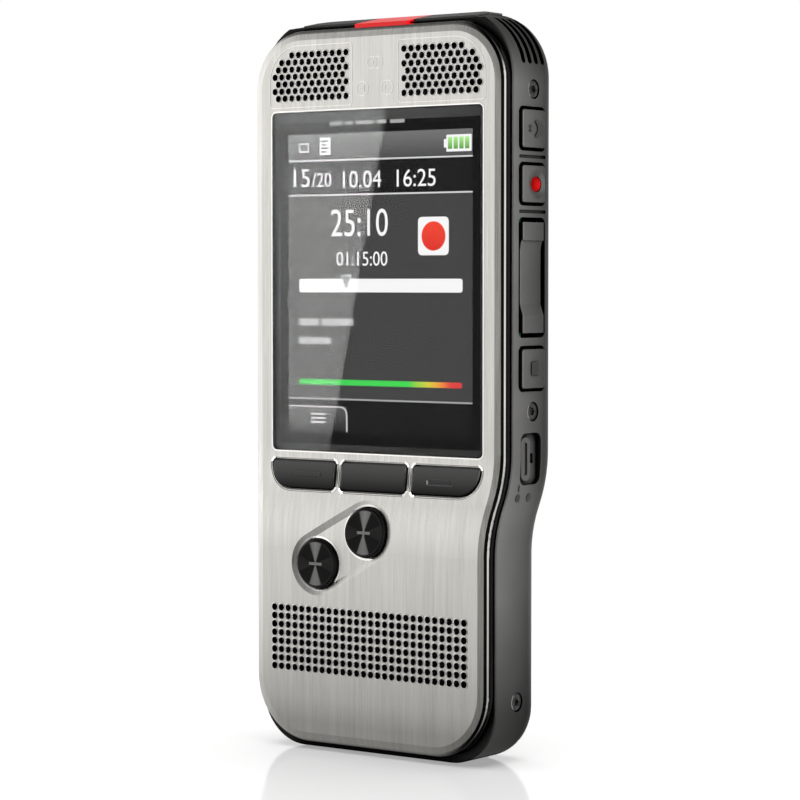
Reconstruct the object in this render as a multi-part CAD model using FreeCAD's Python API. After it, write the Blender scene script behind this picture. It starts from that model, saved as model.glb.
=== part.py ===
import FreeCAD, Part
import math
import os

# Pocket dictation recorder, standing on its bottom end. Millimetres, +Z up, front faces -Y.
# The origin is on the resting surface, under the middle of the recorder.

V = FreeCAD.Vector
os.makedirs("parts", exist_ok=True)

# ---- driving dimensions --------------------------------------------------------------------------
# A depth is measured backwards from the upper front face. Below the waist that face itself
# lies at a depth of -STEP_FORWARD.
HEIGHT = 125.3              # floor to the top of the light bar
DEPTH = 15.8                # thickness of the casing at any height
STEP_FORWARD = 2.2          # how far the lower half stands in front of the upper half
NARROWING = 1.8             # how much each side draws in below the waist
WAIST_TOP = 51.9            # the S-shaped waist runs between these two heights
WAIST_BOTTOM = 34.7
FRONT = -(DEPTH + STEP_FORWARD) / 2 + STEP_FORWARD   # y of the upper front face
LOW_FRONT = -STEP_FORWARD   # depth of the lower front face

PLATE_HALF = 26.1           # steel front plate, half width above the waist
PLATE_TOP = 123.1
PLATE_BOTTOM = 1.3
PLATE_RADII = (10.0, 11.0)  # top and bottom corners
PLATE_SHEET = 0.7
PLATE_RIM = 1.5             # depth of the turned-back rim
PLATE_RIM_WALL = 0.8
PLATE_BEVEL = (0.5, 1.65)   # depth and width of the bevel round the face
PLATE_EDGE_ROUND = 0.9

SHELL_HALF = 26.4           # rear shell, half width above the waist
SHELL_TOP = 125.0
SHELL_BOTTOM = 0.2
SHELL_RADII = (11.0, 9.0)
SHELL_START = 2.5
CROWN = (1.3, 6.5)          # fall and run of the slope from the top down to the front seam
SHELL_WALL = 1.5
BACK_ROUND = 4.0            # rounding between the sides and the back
SEAM_INSET = 0.25           # how far the dark seam lies inside the plate's rim
FRAME_END = 4.0             # back of the middle frame
FIT = 0.1                   # gap left round a piece that another one holds

WINDOW_HALF = 22.1          # display window
WINDOW_Z = (51.2, 109.2)
WINDOW_DEPTH = (0.08, 0.88)
DISPLAY_HALF = 20.9         # display module with its tray
DISPLAY_Z = (52.6, 107.2)
TRAY_SHEET = 0.25
FLEX_HALF = 6.0             # flat ribbon from the display to the main board
FLEX_Z = (54.4, 63.4)
FLEX_THICK = 0.15

KEY_Z = (44.6, 49.7)        # row of three keys under the display
KEY_ROW_HALF = 22.0
KEY_WEB = 1.1               # metal left between two keys
KEY_GAP = 0.28
KEY_BULGE = 0.3             # rise of a key's rounded face over its upper and lower edges
KEY_BARS = {0: ((-16.8, -11.2), (46.9, 47.75), 0.2), 2: ((11.3, 16.6), (46.35, 47.4), -0.25)}
KEY_CORNER = 4.4            # outer lower corner of the outer keys
KEY_ROUND = 0.6             # the other corners
KEY_END = 2.4               # depth of the keys' back faces
KEY_MAT_HALF = 20.5         # rubber sheet behind the keys and round buttons
KEY_MAT_Z = (27.7, 50.0)
KEY_MAT_DEPTH = (3.3, 3.8)
PRESS = 0.4                 # travel of every key and button

PLUS_AT = (-0.6, 37.9)      # round buttons, x and z
MINUS_AT = (-10.8, 32.1)
ROUND_RADIUS = 4.2
ROUND_GAP = 0.18
ROUND_PROUD = 0.4
DISH_RADIUS = 5.45
DISH_DEPTH = 0.5
DISH_SLOPE = 1.1

SPEAKER_COLUMNS = 28
SPEAKER_ROWS = 8
SPEAKER_HALF = 20.0
SPEAKER_Z = (13.95, 24.1)
SPEAKER_HOLE = 0.6          # radius
SPEAKER_RADIUS = 10.4       # the loudspeaker itself

MIC_ROWS = 7
MIC_ROW_Z = (111.65, 119.0)
MIC_PITCH = 1.466
MIC_INNER_X = 6.1
MIC_ACROSS = 11
MIC_HOLE = 0.56             # radius
MIC_AT = (13.4, 115.2)
MIC_RADIUS = 3.0
MIC_MESH_X = (5.1, 22.4)
MIC_MESH_Z = (111.1, 119.9)

SIDE_PROUD = 0.45           # side buttons stand this far out of the casing
BUTTON_DEPTH = (4.15, 11.9)  # side wells
BUTTON_GAP = 0.55
WELL_Z = {
    "insert_button": (101.7, 109.05),
    "record_button": (92.7, 99.9),
    "stop_button": (62.05, 69.65),
}
WELL_CORNER = 1.1
ROCKER_Z = (70.95, 90.8)
ROCKER_GAP = 0.8
ROCKER_PROUD = 0.35
ROCKER_SCOOP = 0.6          # depth of the thumb scoop
ROCKER_PIVOT_X = 24.0
ROCKER_PIN = 0.6            # radius
SEPARATOR_Z = (100.8, 91.75)
DIMPLE_RADIUS = 2.45
DIMPLE_DEPTH = 0.7
DIMPLE_OFFSET = 0.8         # how far behind the button's middle the dimple lies
DOT_RADIUS = 1.28
DOT_OFFSET = 1.3
DOT_RISE = 0.8              # how far the domed dot stands up from the dimple's floor

SWITCH_Z = (46.6, 55.2)     # well of the slide switch
SWITCH_START = 4.9
SWITCH_SUNK = 1.0
SWITCH_TRAVEL = 2.4
KNOB_WIDTH = 2.6
KNOB_GAP = 0.45

SCREW_HEAD = 1.5            # radius of the side screws' heads
SCREW_SHANK = 0.8
SCREW_SUNK = 0.15
SIDE_SCREWS = ((8.55, 111.9), (8.45, 58.7), (6.55, 10.4))   # depth and height

GROOVE_FIRST = 5.9
GROOVE_PITCH = 1.85
GROOVE_COUNT = 4
GROOVE_WIDTH = 1.1
GROOVE_SUNK = 0.7
GROOVE_END_Z = 116.6
GROOVE_INNER_X = 20.4

TOP_INSERT_HALF = 18.0
TOP_INSERT_DEPTH = (3.6, 11.6)
LIGHT_HALF = 5.45
LIGHT_START = 1.6           # the light bar begins right behind the plate's rim
FOOT_HALF = 15.4
FOOT_DEPTH = (2.7, 11.6)
FOOT_BOTTOM = 0.1
PAD_SPANS = ((-15.0, -13.1), (-3.8, 3.8), (13.3, 15.0))   # x of the rubber pads it rests on
PAD_TOP = 0.6

COVER_HALF = 19.0           # battery cover
COVER_Z = (52.8, 105.8)
COVER_THICK = 1.2
COVER_CORNER = 3.0
COVER_GAP = 0.15
BATTERY_HALF = 17.0
BATTERY_Z = (54.8, 102.2)
BATTERY_DEPTH = (8.6, 14.2)
BATTERY_GAP = 0.4
TRAY_WALL = 0.9

BOARD_DEPTH = (4.5, 5.3)
BOARD_HALF = 21.2
BOARD_Z = (12.4, 117.4)
SIDE_BOARD_X = (21.5, 22.1)
SIDE_BOARD_DEPTH = (5.6, 11.2)
SIDE_BOARD_Z = (61.9, 109.4)
PROCESSOR_AT = (4.0, 85.4)
PROCESSOR_SIDE = 12.0
MEMORY_X = (-8.0, 6.0)
MEMORY_Z = 67.4

CARD_SIZE = (32.0, 2.1, 24.0)
CARD_Z = 14.0
CARD_START = 6.9            # depth of its front face
CARD_PROUD = 0.5

SOCKET_Z = 107.0            # headset socket in the left side
SOCKET_DEPTH = 9.2
SOCKET_BORE = 1.78          # radius
SOCKET_LENGTH = 14.0
SOCKET_COLLAR = 2.4

USB_X = -9.0
USB_HALF = 3.7
USB_DEPTH = (5.6, 8.2)
USB_WALL = 0.3
CONTACT_COUNT = 6           # charging contacts on the other side of the foot
CONTACT_X = 9.0
CONTACT_PITCH = 1.25

LARGE = 60.0


# ---- helpers -------------------------------------------------------------------------------------
def y_at(depth):
    """Row y of a plane that lies this far behind the upper front face."""
    return FRONT + depth


def shift_radius(change):
    """Radius of the two equal arcs that shift a wall by this much over the waist."""
    rise = WAIST_TOP - WAIST_BOTTOM
    return (rise * rise + change * change) / (4 * change)


def waist_shift(z, change=STEP_FORWARD):
    """How far a wall has moved at height z."""
    radius = shift_radius(change)
    if z >= WAIST_TOP:
        return 0.0
    if z <= WAIST_BOTTOM:
        return change
    if z > (WAIST_TOP + WAIST_BOTTOM) / 2:
        return radius - math.sqrt(radius ** 2 - (WAIST_TOP - z) ** 2)
    return change - radius + math.sqrt(radius ** 2 - (z - WAIST_BOTTOM) ** 2)


def waist_arcs(upper, lower, place):
    """Two tangent arcs from (upper, WAIST_TOP) down to (lower, WAIST_BOTTOM)."""
    change = upper - lower
    middle_z = (WAIST_TOP + WAIST_BOTTOM) / 2
    points = [place(upper, WAIST_TOP)]
    for z in ((WAIST_TOP + middle_z) / 2, middle_z, (WAIST_BOTTOM + middle_z) / 2):
        points.append(place(upper - waist_shift(z, change), z))
    points.append(place(lower, WAIST_BOTTOM))
    return [Part.Arc(*points[0:3]).toShape(), Part.Arc(*points[2:5]).toShape()]


def make_face(edges):
    return Part.Face(Part.Wire(Part.__sortEdges__(edges)))


def half_outline(sign, half, top, bottom, radii):
    """One side of the front outline, from the top edge down to the bottom edge."""
    def place(x, z):
        return V(sign * x, -LARGE, z)
    low = half - NARROWING
    top_r, low_r = radii
    bow = 1 - math.sqrt(0.5)
    return [
        Part.makeLine(place(0, top), place(half - top_r, top)),
        Part.Arc(place(half - top_r, top), place(half - top_r * bow, top - top_r * bow),
                 place(half, top - top_r)).toShape(),
        Part.makeLine(place(half, top - top_r), place(half, WAIST_TOP)),
        *waist_arcs(half, low, place),
        Part.makeLine(place(low, WAIST_BOTTOM), place(low, bottom + low_r)),
        Part.Arc(place(low, bottom + low_r), place(low - low_r * bow, bottom + low_r * bow),
                 place(low - low_r, bottom)).toShape(),
        Part.makeLine(place(low - low_r, bottom), place(0, bottom)),
    ]


def outline_prism(half, top, bottom, radii):
    edges = []
    for sign in (-1, 1):
        edges += half_outline(sign, half, top, bottom, radii)
    return make_face(edges).extrude(V(0, 2 * LARGE, 0))


def slab(start, end):
    """The space between two depths behind the front, following the S-shaped waist."""
    def place(y, z):
        return V(-LARGE, y, z)
    top, bottom = HEIGHT + 10, -10
    edges = []
    for depth in (start, end):
        y = y_at(depth)
        edges.append(Part.makeLine(place(y, top), place(y, WAIST_TOP)))
        edges += waist_arcs(y, y - STEP_FORWARD, place)
        edges.append(Part.makeLine(place(y - STEP_FORWARD, WAIST_BOTTOM),
                                   place(y - STEP_FORWARD, bottom)))
    edges.append(Part.makeLine(place(y_at(start), top), place(y_at(end), top)))
    edges.append(Part.makeLine(place(y_at(start) - STEP_FORWARD, bottom),
                               place(y_at(end) - STEP_FORWARD, bottom)))
    return make_face(edges).extrude(V(2 * LARGE, 0, 0))


def envelope(half, top, bottom, radii, start, end):
    return outline_prism(half, top, bottom, radii).common(slab(start, end))


def shell_envelope(inset, start, end):
    """The rear shell's outer form, drawn in by an inset."""
    radii = [radius - inset for radius in SHELL_RADII]
    return envelope(SHELL_HALF - inset, SHELL_TOP - inset, SHELL_BOTTOM + inset, radii, start, end)


def surface_edges(shape, depth, inside=None):
    """Edges of a shape that lie on the surface at this depth behind the front."""
    found = []
    for edge in shape.Edges:
        first, last = edge.FirstParameter, edge.LastParameter
        points = [edge.valueAt(first + (last - first) * k / 6) for k in range(7)]
        if inside and not all(inside(point) for point in points):
            continue
        if all(abs(p.y - y_at(depth) + waist_shift(p.z)) < 0.02 for p in points):
            found.append(edge)
    return found


def box(x, y, z):
    """A box from three (low, high) pairs."""
    return Part.makeBox(x[1] - x[0], y[1] - y[0], z[1] - z[0], V(x[0], y[0], z[0]))


def deep_box(x, depth, z):
    """A box whose y is given as depths behind the upper front face."""
    return box(x, (y_at(depth[0]), y_at(depth[1])), z)


def grown(pair, amount):
    return pair[0] - amount, pair[1] + amount


def rounded(shape, radius, direction):
    """Round the edges of a shape that run along a direction."""
    edges = []
    for edge in shape.Edges:
        if edge.Curve.TypeId != "Part::GeomLine":
            continue
        if abs(edge.tangentAt(edge.FirstParameter).dot(direction)) > 0.999:
            edges.append(edge)
    return shape.makeFillet(radius, edges)


def rounded_box(x, y, z, radius, direction):
    return rounded(box(x, y, z), radius, direction)


def deep_cylinder(radius, x, z, start, end):
    """A cylinder along Y at (x, z), between two depths behind the upper front face."""
    return Part.makeCylinder(radius, end - start, V(x, y_at(start), z), V(0, 1, 0))


def side_cylinder(radius, y, z, low_x, high_x):
    return Part.makeCylinder(radius, high_x - low_x, V(low_x, y, z), V(1, 0, 0))


def cut_all(shape, tools):
    return shape.cut(Part.makeCompound(tools))


def mirrored(shape):
    return shape.mirror(V(0, 0, 0), V(1, 0, 0))


X_AXIS = V(1, 0, 0)
Y_AXIS = V(0, 1, 0)
Z_AXIS = V(0, 0, 1)
ANY = (-LARGE, LARGE)


# ---- layout worked out from the driving dimensions -----------------------------------------------
def key_spans():
    """x range of each key's opening, from left to right."""
    width = (2 * KEY_ROW_HALF - 2 * KEY_WEB) / 3
    starts = [-KEY_ROW_HALF + k * (width + KEY_WEB) for k in range(3)]
    return [(start, start + width) for start in starts]


KEY_NAMES = ("function_key_left", "function_key_middle", "function_key_right")


def key_prism(index, shrink):
    """A key's outline as a prism along Y. The outer keys have one large lower corner."""
    low_x, high_x = grown(key_spans()[index], -shrink)
    low_z, high_z = grown(KEY_Z, -shrink)
    prism = box((low_x, high_x), ANY, (low_z, high_z))
    large_x = {0: low_x, 2: high_x}.get(index)
    large, small = [], []
    for edge in prism.Edges:
        if abs(edge.tangentAt(edge.FirstParameter).y) < 0.999:
            continue
        point = edge.valueAt(edge.FirstParameter)
        is_large = large_x is not None and math.hypot(point.x - large_x, point.z - low_z) < 0.01
        if is_large:
            large.append(edge)
        else:
            small.append(edge)
    if not large:
        return prism.makeFillet(KEY_ROUND - shrink, small)
    radius = KEY_CORNER - shrink
    sign = 1 if index == 2 else -1
    centre_x = large_x - sign * radius
    block_x = sorted((centre_x, large_x + sign))
    block = box(block_x, ANY, (low_z - 1, low_z + radius))
    corner = Part.makeCylinder(radius, 2 * LARGE, V(centre_x, -LARGE, low_z + radius), Y_AXIS)
    block = block.cut(corner)
    return prism.makeFillet(KEY_ROUND - shrink, small).cut(block)


def dish_prism(radius):
    """The slanted stadium round the two round buttons, as a prism along Y."""
    (x1, z1), (x2, z2) = PLUS_AT, MINUS_AT
    length = math.hypot(x1 - x2, z1 - z2)
    angle = math.degrees(math.atan2(z1 - z2, x1 - x2))
    bar = Part.makeBox(length, 2 * LARGE, 2 * radius, V(0, -LARGE, -radius))
    bar.rotate(V(0, 0, 0), V(0, -1, 0), angle)
    bar.translate(V(x2, 0, z2))
    ends = [Part.makeCylinder(radius, 2 * LARGE, V(x, -LARGE, z), Y_AXIS)
            for x, z in (PLUS_AT, MINUS_AT)]
    return bar.fuse(ends).removeSplitter()


def speaker_centres():
    pitch_x = 2 * SPEAKER_HALF / (SPEAKER_COLUMNS - 1)
    pitch_z = (SPEAKER_Z[1] - SPEAKER_Z[0]) / (SPEAKER_ROWS - 1)
    return [(-SPEAKER_HALF + column * pitch_x, SPEAKER_Z[0] + row * pitch_z)
            for column in range(SPEAKER_COLUMNS) for row in range(SPEAKER_ROWS)]


def mic_centres():
    """Right-hand grille. The outer upper corner is cut back by the plate's own corner."""
    pitch_z = (MIC_ROW_Z[1] - MIC_ROW_Z[0]) / (MIC_ROWS - 1)
    centres = []
    for row in range(MIC_ROWS):
        missing = max(0, row - (MIC_ROWS - 3))
        stagger = MIC_PITCH / 2 * (row % 2)
        for column in range(MIC_ACROSS - missing):
            x = MIC_INNER_X + stagger + column * MIC_PITCH
            centres.append((x, MIC_ROW_Z[0] + row * pitch_z))
    return centres


# ---- front plate ---------------------------------------------------------------------------------
def inner_form(gap, start, end):
    """A form that follows the inside of the plate's rim, drawn in by a further gap."""
    inset = PLATE_RIM_WALL + gap
    radii = [radius - inset for radius in PLATE_RADII]
    return envelope(PLATE_HALF - inset, PLATE_TOP - inset, PLATE_BOTTOM + inset, radii, start, end)


def near_round_buttons(point):
    return abs(point.x) < 18 and 25 < point.z < 44.4


def near_openings(point):
    return abs(point.x) < 22.4 and 44.4 < point.z < 109.6


def front_plate():
    plate = envelope(PLATE_HALF, PLATE_TOP, PLATE_BOTTOM, PLATE_RADII, 0, PLATE_RIM)
    plate = plate.makeChamfer(*PLATE_BEVEL, surface_edges(plate, 0))
    plate = plate.makeFillet(PLATE_EDGE_ROUND, surface_edges(plate, PLATE_BEVEL[0]))
    plate = plate.cut(dish_prism(DISH_RADIUS - DISH_SLOPE).common(slab(-2, DISH_DEPTH)))
    edges = surface_edges(plate, 0, near_round_buttons)
    plate = plate.makeChamfer(DISH_SLOPE, DISH_DEPTH - 0.02, edges)
    backing = dish_prism(DISH_RADIUS + 0.6).common(slab(0, PLATE_SHEET + DISH_DEPTH))
    plate = plate.cut(inner_form(0, PLATE_SHEET, PLATE_RIM + 1).cut(backing))
    window_x = grown((-WINDOW_HALF, WINDOW_HALF), FIT)
    openings = [rounded_box(window_x, ANY, grown(WINDOW_Z, FIT), 0.9, Y_AXIS)]
    openings += [key_prism(index, 0) for index in range(3)]
    plate = cut_all(plate, openings)
    plate = plate.makeChamfer(0.18, surface_edges(plate, 0, near_openings))
    holes = [deep_cylinder(ROUND_RADIUS + ROUND_GAP, *at, -5, 5) for at in (PLUS_AT, MINUS_AT)]
    holes += [deep_cylinder(SPEAKER_HOLE, x, z, -5, 5) for x, z in speaker_centres()]
    for x, z in mic_centres():
        holes.append(deep_cylinder(MIC_HOLE, x, z, -5, 5))
        holes.append(deep_cylinder(MIC_HOLE, -x, z, -5, 5))
    return cut_all(plate, holes)


# ---- display -------------------------------------------------------------------------------------
def display_window():
    low, high = WINDOW_Z
    width = (-WINDOW_HALF, WINDOW_HALF)
    depth = [y_at(value) for value in WINDOW_DEPTH]
    return rounded_box(width, depth, (low, high), 0.8, Y_AXIS)


def display_tray():
    half = DISPLAY_HALF
    tray = deep_box((-half, half), (1.2, 3.5), DISPLAY_Z)
    inner = grown((-half, half), -TRAY_SHEET)
    return tray.cut(deep_box(inner, (0, 3.5 - TRAY_SHEET), grown(DISPLAY_Z, -TRAY_SHEET)))


def display_layer(start, end):
    inset = TRAY_SHEET + 0.1
    half = DISPLAY_HALF - inset
    return deep_box((-half, half), (start, end), grown(DISPLAY_Z, -inset))


def display_panel():
    return display_layer(1.25, 2.2)


def display_backlight():
    return display_layer(2.25, 3.2)


def display_flex():
    """Flat ribbon from the back of the display down to the main board."""
    x = (-FLEX_HALF, FLEX_HALF)
    start = 3.55
    low = FLEX_Z[0]
    flat = deep_box(x, (start, start + FLEX_THICK), FLEX_Z)
    return flat.fuse(deep_box(x, (start, BOARD_DEPTH[0] - 0.05), (low, low + 2 * FLEX_THICK)))


# ---- middle frame --------------------------------------------------------------------------------
def screw_tab(sign, depth, z):
    """Block inside the casing that a side screw bites into."""
    high = SHELL_HALF - SHELL_WALL - 0.3 - waist_shift(z, NARROWING)
    start = FRAME_END - 1 - waist_shift(z)
    tab = deep_box((high - 1.5, high), (start, depth + 1.8), (z - 1.6, z + 1.6))
    tab = tab.common(shell_envelope(SHELL_WALL + 0.2, 0, DEPTH))
    tab = tab.cut(side_cylinder(SCREW_SHANK + 0.03, y_at(depth), z, 0, LARGE))
    return tab if sign > 0 else mirrored(tab)


def middle_frame():
    """Dark carrier between plate and shell. Its edge is the seam that shows round the plate."""
    front = inner_form(FIT, PLATE_SHEET + 0.03, PLATE_RIM + 0.2)
    inset = SEAM_INSET
    radii = [radius - inset for radius in PLATE_RADII]
    seam = envelope(PLATE_HALF - inset, PLATE_TOP - inset, PLATE_BOTTOM + inset, radii,
                    PLATE_RIM + 0.03, SHELL_START - 0.03)
    back = shell_envelope(SHELL_WALL + 0.3, SHELL_START - 0.2, FRAME_END)
    frame = front.fuse([seam, back]).removeSplitter()
    for sign in (-1, 1):
        for depth, z in SIDE_SCREWS:
            frame = frame.fuse(screw_tab(sign, depth, z))
    speaker_x = (-SPEAKER_HALF - 0.4, SPEAKER_HALF + 0.4)
    tools = [
        deep_box(grown((-WINDOW_HALF, WINDOW_HALF), 0.2), (-5, WINDOW_DEPTH[1] + 0.02),
                 grown(WINDOW_Z, 0.2)),
        deep_box(grown((-DISPLAY_HALF, DISPLAY_HALF), 0.2), (-5, 5), grown(DISPLAY_Z, 0.2)),
        deep_box(grown((-KEY_ROW_HALF, KEY_ROW_HALF), 0.7), (-5, 5), grown(KEY_Z, 0.7)),
        dish_prism(DISH_RADIUS + 0.8).common(slab(-2, PLATE_SHEET + DISH_DEPTH + 0.05)),
        deep_box(speaker_x, (-5, 5), grown(SPEAKER_Z, 0.5)),
        deep_box(grown(speaker_x, 0.5), (-5, LOW_FRONT + PLATE_SHEET + 0.26),
                 grown(SPEAKER_Z, 1.0)),
        deep_cylinder(SPEAKER_RADIUS + 0.15, 0, sum(SPEAKER_Z) / 2, LOW_FRONT + 1.0, 5),
    ]
    tools += [deep_cylinder(ROUND_RADIUS + 0.9, *at, -5, 5) for at in (PLUS_AT, MINUS_AT)]
    for sign in (-1, 1):
        tools.append(deep_cylinder(MIC_RADIUS + 1.05, sign * MIC_AT[0], MIC_AT[1], -5, 5))
        tools.append(mic_mesh(sign, FIT))
    tools.append(top_insert_core(FIT))
    tools.append(light_slot(FIT))
    return cut_all(frame, tools)


# ---- keys and round buttons ----------------------------------------------------------------------
def key_arch(rise):
    """Cylinder along X that gives the keys their rounded faces. It meets the plate's face at
    the upper and lower edges of the row when the rise is zero."""
    low_z, high_z = KEY_Z
    low_y, high_y = [y_at(-waist_shift(z)) for z in KEY_Z]
    chord = math.hypot(high_z - low_z, high_y - low_y)
    radius = (chord * chord / 4 + KEY_BULGE * KEY_BULGE) / (2 * KEY_BULGE)
    reach = (radius - KEY_BULGE) / chord
    y = (low_y + high_y) / 2 + reach * (high_z - low_z)
    z = (low_z + high_z) / 2 - reach * (high_y - low_y)
    return Part.makeCylinder(radius + rise, 2 * LARGE, V(-LARGE, y, z), X_AXIS)


def function_key(index):
    cap = key_prism(index, KEY_GAP).common(slab(-3, KEY_END)).common(key_arch(0))
    edges = [edge for edge in cap.Edges if all(on_arch(vertex.Point) for vertex in edge.Vertexes)]
    cap = cap.makeFillet(0.18, edges)
    if index in KEY_BARS:
        x, z, rise = KEY_BARS[index]
        bar = rounded_box(x, ANY, z, 0.4, Y_AXIS).common(slab(-3, 0.5))
        if rise > 0:
            cap = cap.fuse(bar.common(key_arch(rise)))
        else:
            cap = cap.cut(bar.cut(key_arch(rise)))
    flange = key_prism(index, -0.4).common(slab(0.95, 1.5))
    return cap.fuse(flange)


def on_arch(point):
    face = key_arch(0).Faces[0]
    return face.distToShape(Part.Vertex(point))[0] < 0.001


def round_button(at):
    cap = deep_cylinder(ROUND_RADIUS, *at, -10, KEY_END).common(slab(-ROUND_PROUD, 2 * DEPTH))
    cap = cap.makeChamfer(0.3, surface_edges(cap, -ROUND_PROUD))
    flange = deep_cylinder(ROUND_RADIUS + 0.7, *at, -10, 10).common(slab(1.7, 2.2))
    return cap.fuse(flange)


def key_mat():
    """Rubber sheet between keys and board, with a post behind each of them."""
    mat = deep_box((-KEY_MAT_HALF, KEY_MAT_HALF), KEY_MAT_DEPTH, KEY_MAT_Z)
    clear = KEY_END + PRESS + 0.15
    posts = [deep_cylinder(1.4, x, z, clear, KEY_MAT_DEPTH[0] + 0.1) for x, z in switch_places()]
    return mat.fuse(posts)


def switch_places():
    middle = sum(KEY_Z) / 2
    return [(sum(span) / 2, middle) for span in key_spans()] + [PLUS_AT, MINUS_AT]


def key_domes():
    """Shallow metal snap domes on the board, one behind each post."""
    domes = []
    for x, z in switch_places():
        ball = Part.makeSphere(4.0, V(x, y_at(BOARD_DEPTH[0]) + 3.5, z))
        keep = deep_box((x - 3, x + 3), (3, BOARD_DEPTH[0] - 0.02), (z - 3, z + 3))
        domes.append(ball.common(keep))
    return Part.makeCompound(domes)


# ---- loudspeaker and microphones -----------------------------------------------------------------
def speaker_mesh():
    start = LOW_FRONT + PLATE_SHEET + 0.03
    x = (-SPEAKER_HALF - 0.8, SPEAKER_HALF + 0.8)
    return deep_box(x, (start, start + 0.2), grown(SPEAKER_Z, 0.9))


def speaker_stack(radius, start, end):
    return deep_cylinder(radius, 0, sum(SPEAKER_Z) / 2, start, end)


def speaker_basket():
    start = LOW_FRONT + 1.05
    ring = speaker_stack(SPEAKER_RADIUS, start, start + 2.4)
    return ring.cut(speaker_stack(SPEAKER_RADIUS - 0.8, start - 1, start + 2.0)).cut(
        speaker_stack(5.2, start, start + 3))


def speaker_cone():
    """Paper cone with a domed cap, open towards the front."""
    start = y_at(LOW_FRONT + 1.3)
    at = V(0, start, sum(SPEAKER_Z) / 2)
    wide, narrow, rise, sheet = SPEAKER_RADIUS - 1.0, 3.4, 1.3, 0.25
    outer = Part.makeCone(wide, narrow, rise, at, Y_AXIS)
    inner = Part.makeCone(wide - sheet * 2, narrow - sheet, rise - sheet, at, Y_AXIS)
    return outer.cut(inner)


def speaker_magnet():
    start = LOW_FRONT + 1.05
    cup = speaker_stack(5.0, start + 1.7, start + 4.4)
    return cup.fuse(speaker_stack(6.2, start + 2.5, start + 3.3))


def mic_mesh(sign, gap=0.0):
    mesh = deep_box(grown(MIC_MESH_X, gap), (PLATE_SHEET + 0.03, PLATE_SHEET + 0.23 + gap),
                    grown(MIC_MESH_Z, gap))
    mesh = mesh.common(inner_form(1.2 - gap, 0, 2))
    return mesh if sign > 0 else mirrored(mesh)


def mic_capsule(sign):
    return deep_cylinder(MIC_RADIUS, sign * MIC_AT[0], MIC_AT[1], 1.6, 3.6)


def mic_boot(sign):
    x = sign * MIC_AT[0]
    boot = deep_cylinder(MIC_RADIUS + 0.95, x, MIC_AT[1], 1.2, 3.9)
    return boot.cut(deep_cylinder(MIC_RADIUS + 0.05, x, MIC_AT[1], 1.5, 5)).cut(
        deep_cylinder(1.2, x, MIC_AT[1], 0, 5))


# ---- rear shell ----------------------------------------------------------------------------------
def crown_cut(proud):
    """Takes off what stands above the slope at the front of the top, raised by an amount."""
    fall, run = CROWN
    top = SHELL_TOP + proud
    back = y_at(SHELL_START + run)
    front = back - 2 * run
    points = [V(-LARGE, back, top), V(-LARGE, front, top - 2 * fall), V(-LARGE, front, top + 5),
              V(-LARGE, back, top + 5), V(-LARGE, back, top)]
    return Part.Face(Part.makePolygon(points)).extrude(V(2 * LARGE, 0, 0))


def shell_outer():
    form = shell_envelope(0, SHELL_START, DEPTH)
    form = form.makeFillet(BACK_ROUND, surface_edges(form, DEPTH))
    form = form.makeChamfer(0.2, surface_edges(form, SHELL_START))
    return form.cut(crown_cut(0))


def shell_inner():
    form = shell_envelope(SHELL_WALL, SHELL_START - 1, DEPTH - SHELL_WALL)
    return form.makeFillet(BACK_ROUND - SHELL_WALL, surface_edges(form, DEPTH - SHELL_WALL))


def grip_grooves():
    """Grooves that run over each top corner, with round ends on the sides."""
    band = outline_prism(SHELL_HALF + 5, SHELL_TOP + 5, SHELL_BOTTOM - 5,
                         [radius + 5 for radius in SHELL_RADII])
    band = band.cut(outline_prism(SHELL_HALF - GROOVE_SUNK, SHELL_TOP - GROOVE_SUNK,
                                  SHELL_BOTTOM + GROOVE_SUNK,
                                  [radius - GROOVE_SUNK for radius in SHELL_RADII]))
    grooves = []
    for index in range(GROOVE_COUNT):
        y = y_at(GROOVE_FIRST + index * GROOVE_PITCH)
        side = box((GROOVE_INNER_X, LARGE), (y - GROOVE_WIDTH / 2, y + GROOVE_WIDTH / 2),
                   (GROOVE_END_Z, HEIGHT + 9))
        end = side_cylinder(GROOVE_WIDTH / 2, y, GROOVE_END_Z, GROOVE_INNER_X, LARGE)
        groove = side.fuse(end).common(band)
        grooves += [groove, mirrored(groove)]
    return grooves


def well(z, gap=0.0):
    y = (y_at(BUTTON_DEPTH[0] + gap), y_at(BUTTON_DEPTH[1] - gap))
    return rounded_box((SHELL_HALF - 4, LARGE), y, grown(z, -gap), WELL_CORNER - gap / 2, X_AXIS)


def screw_holes(sign):
    holes = []
    for depth, z in SIDE_SCREWS:
        surface = SHELL_HALF - waist_shift(z, NARROWING)
        hole = side_cylinder(SCREW_HEAD + 0.12, y_at(depth), z, surface - 0.95, LARGE)
        hole = hole.fuse(side_cylinder(SCREW_SHANK + 0.1, y_at(depth), z, surface - 4, LARGE))
        holes.append(hole if sign > 0 else mirrored(hole))
    return holes


def cover_prism(gap, start, end):
    x = grown((-COVER_HALF, COVER_HALF), gap)
    y = (y_at(start), y_at(end))
    return rounded_box(x, y, grown(COVER_Z, gap), COVER_CORNER + gap, Y_AXIS)


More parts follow.
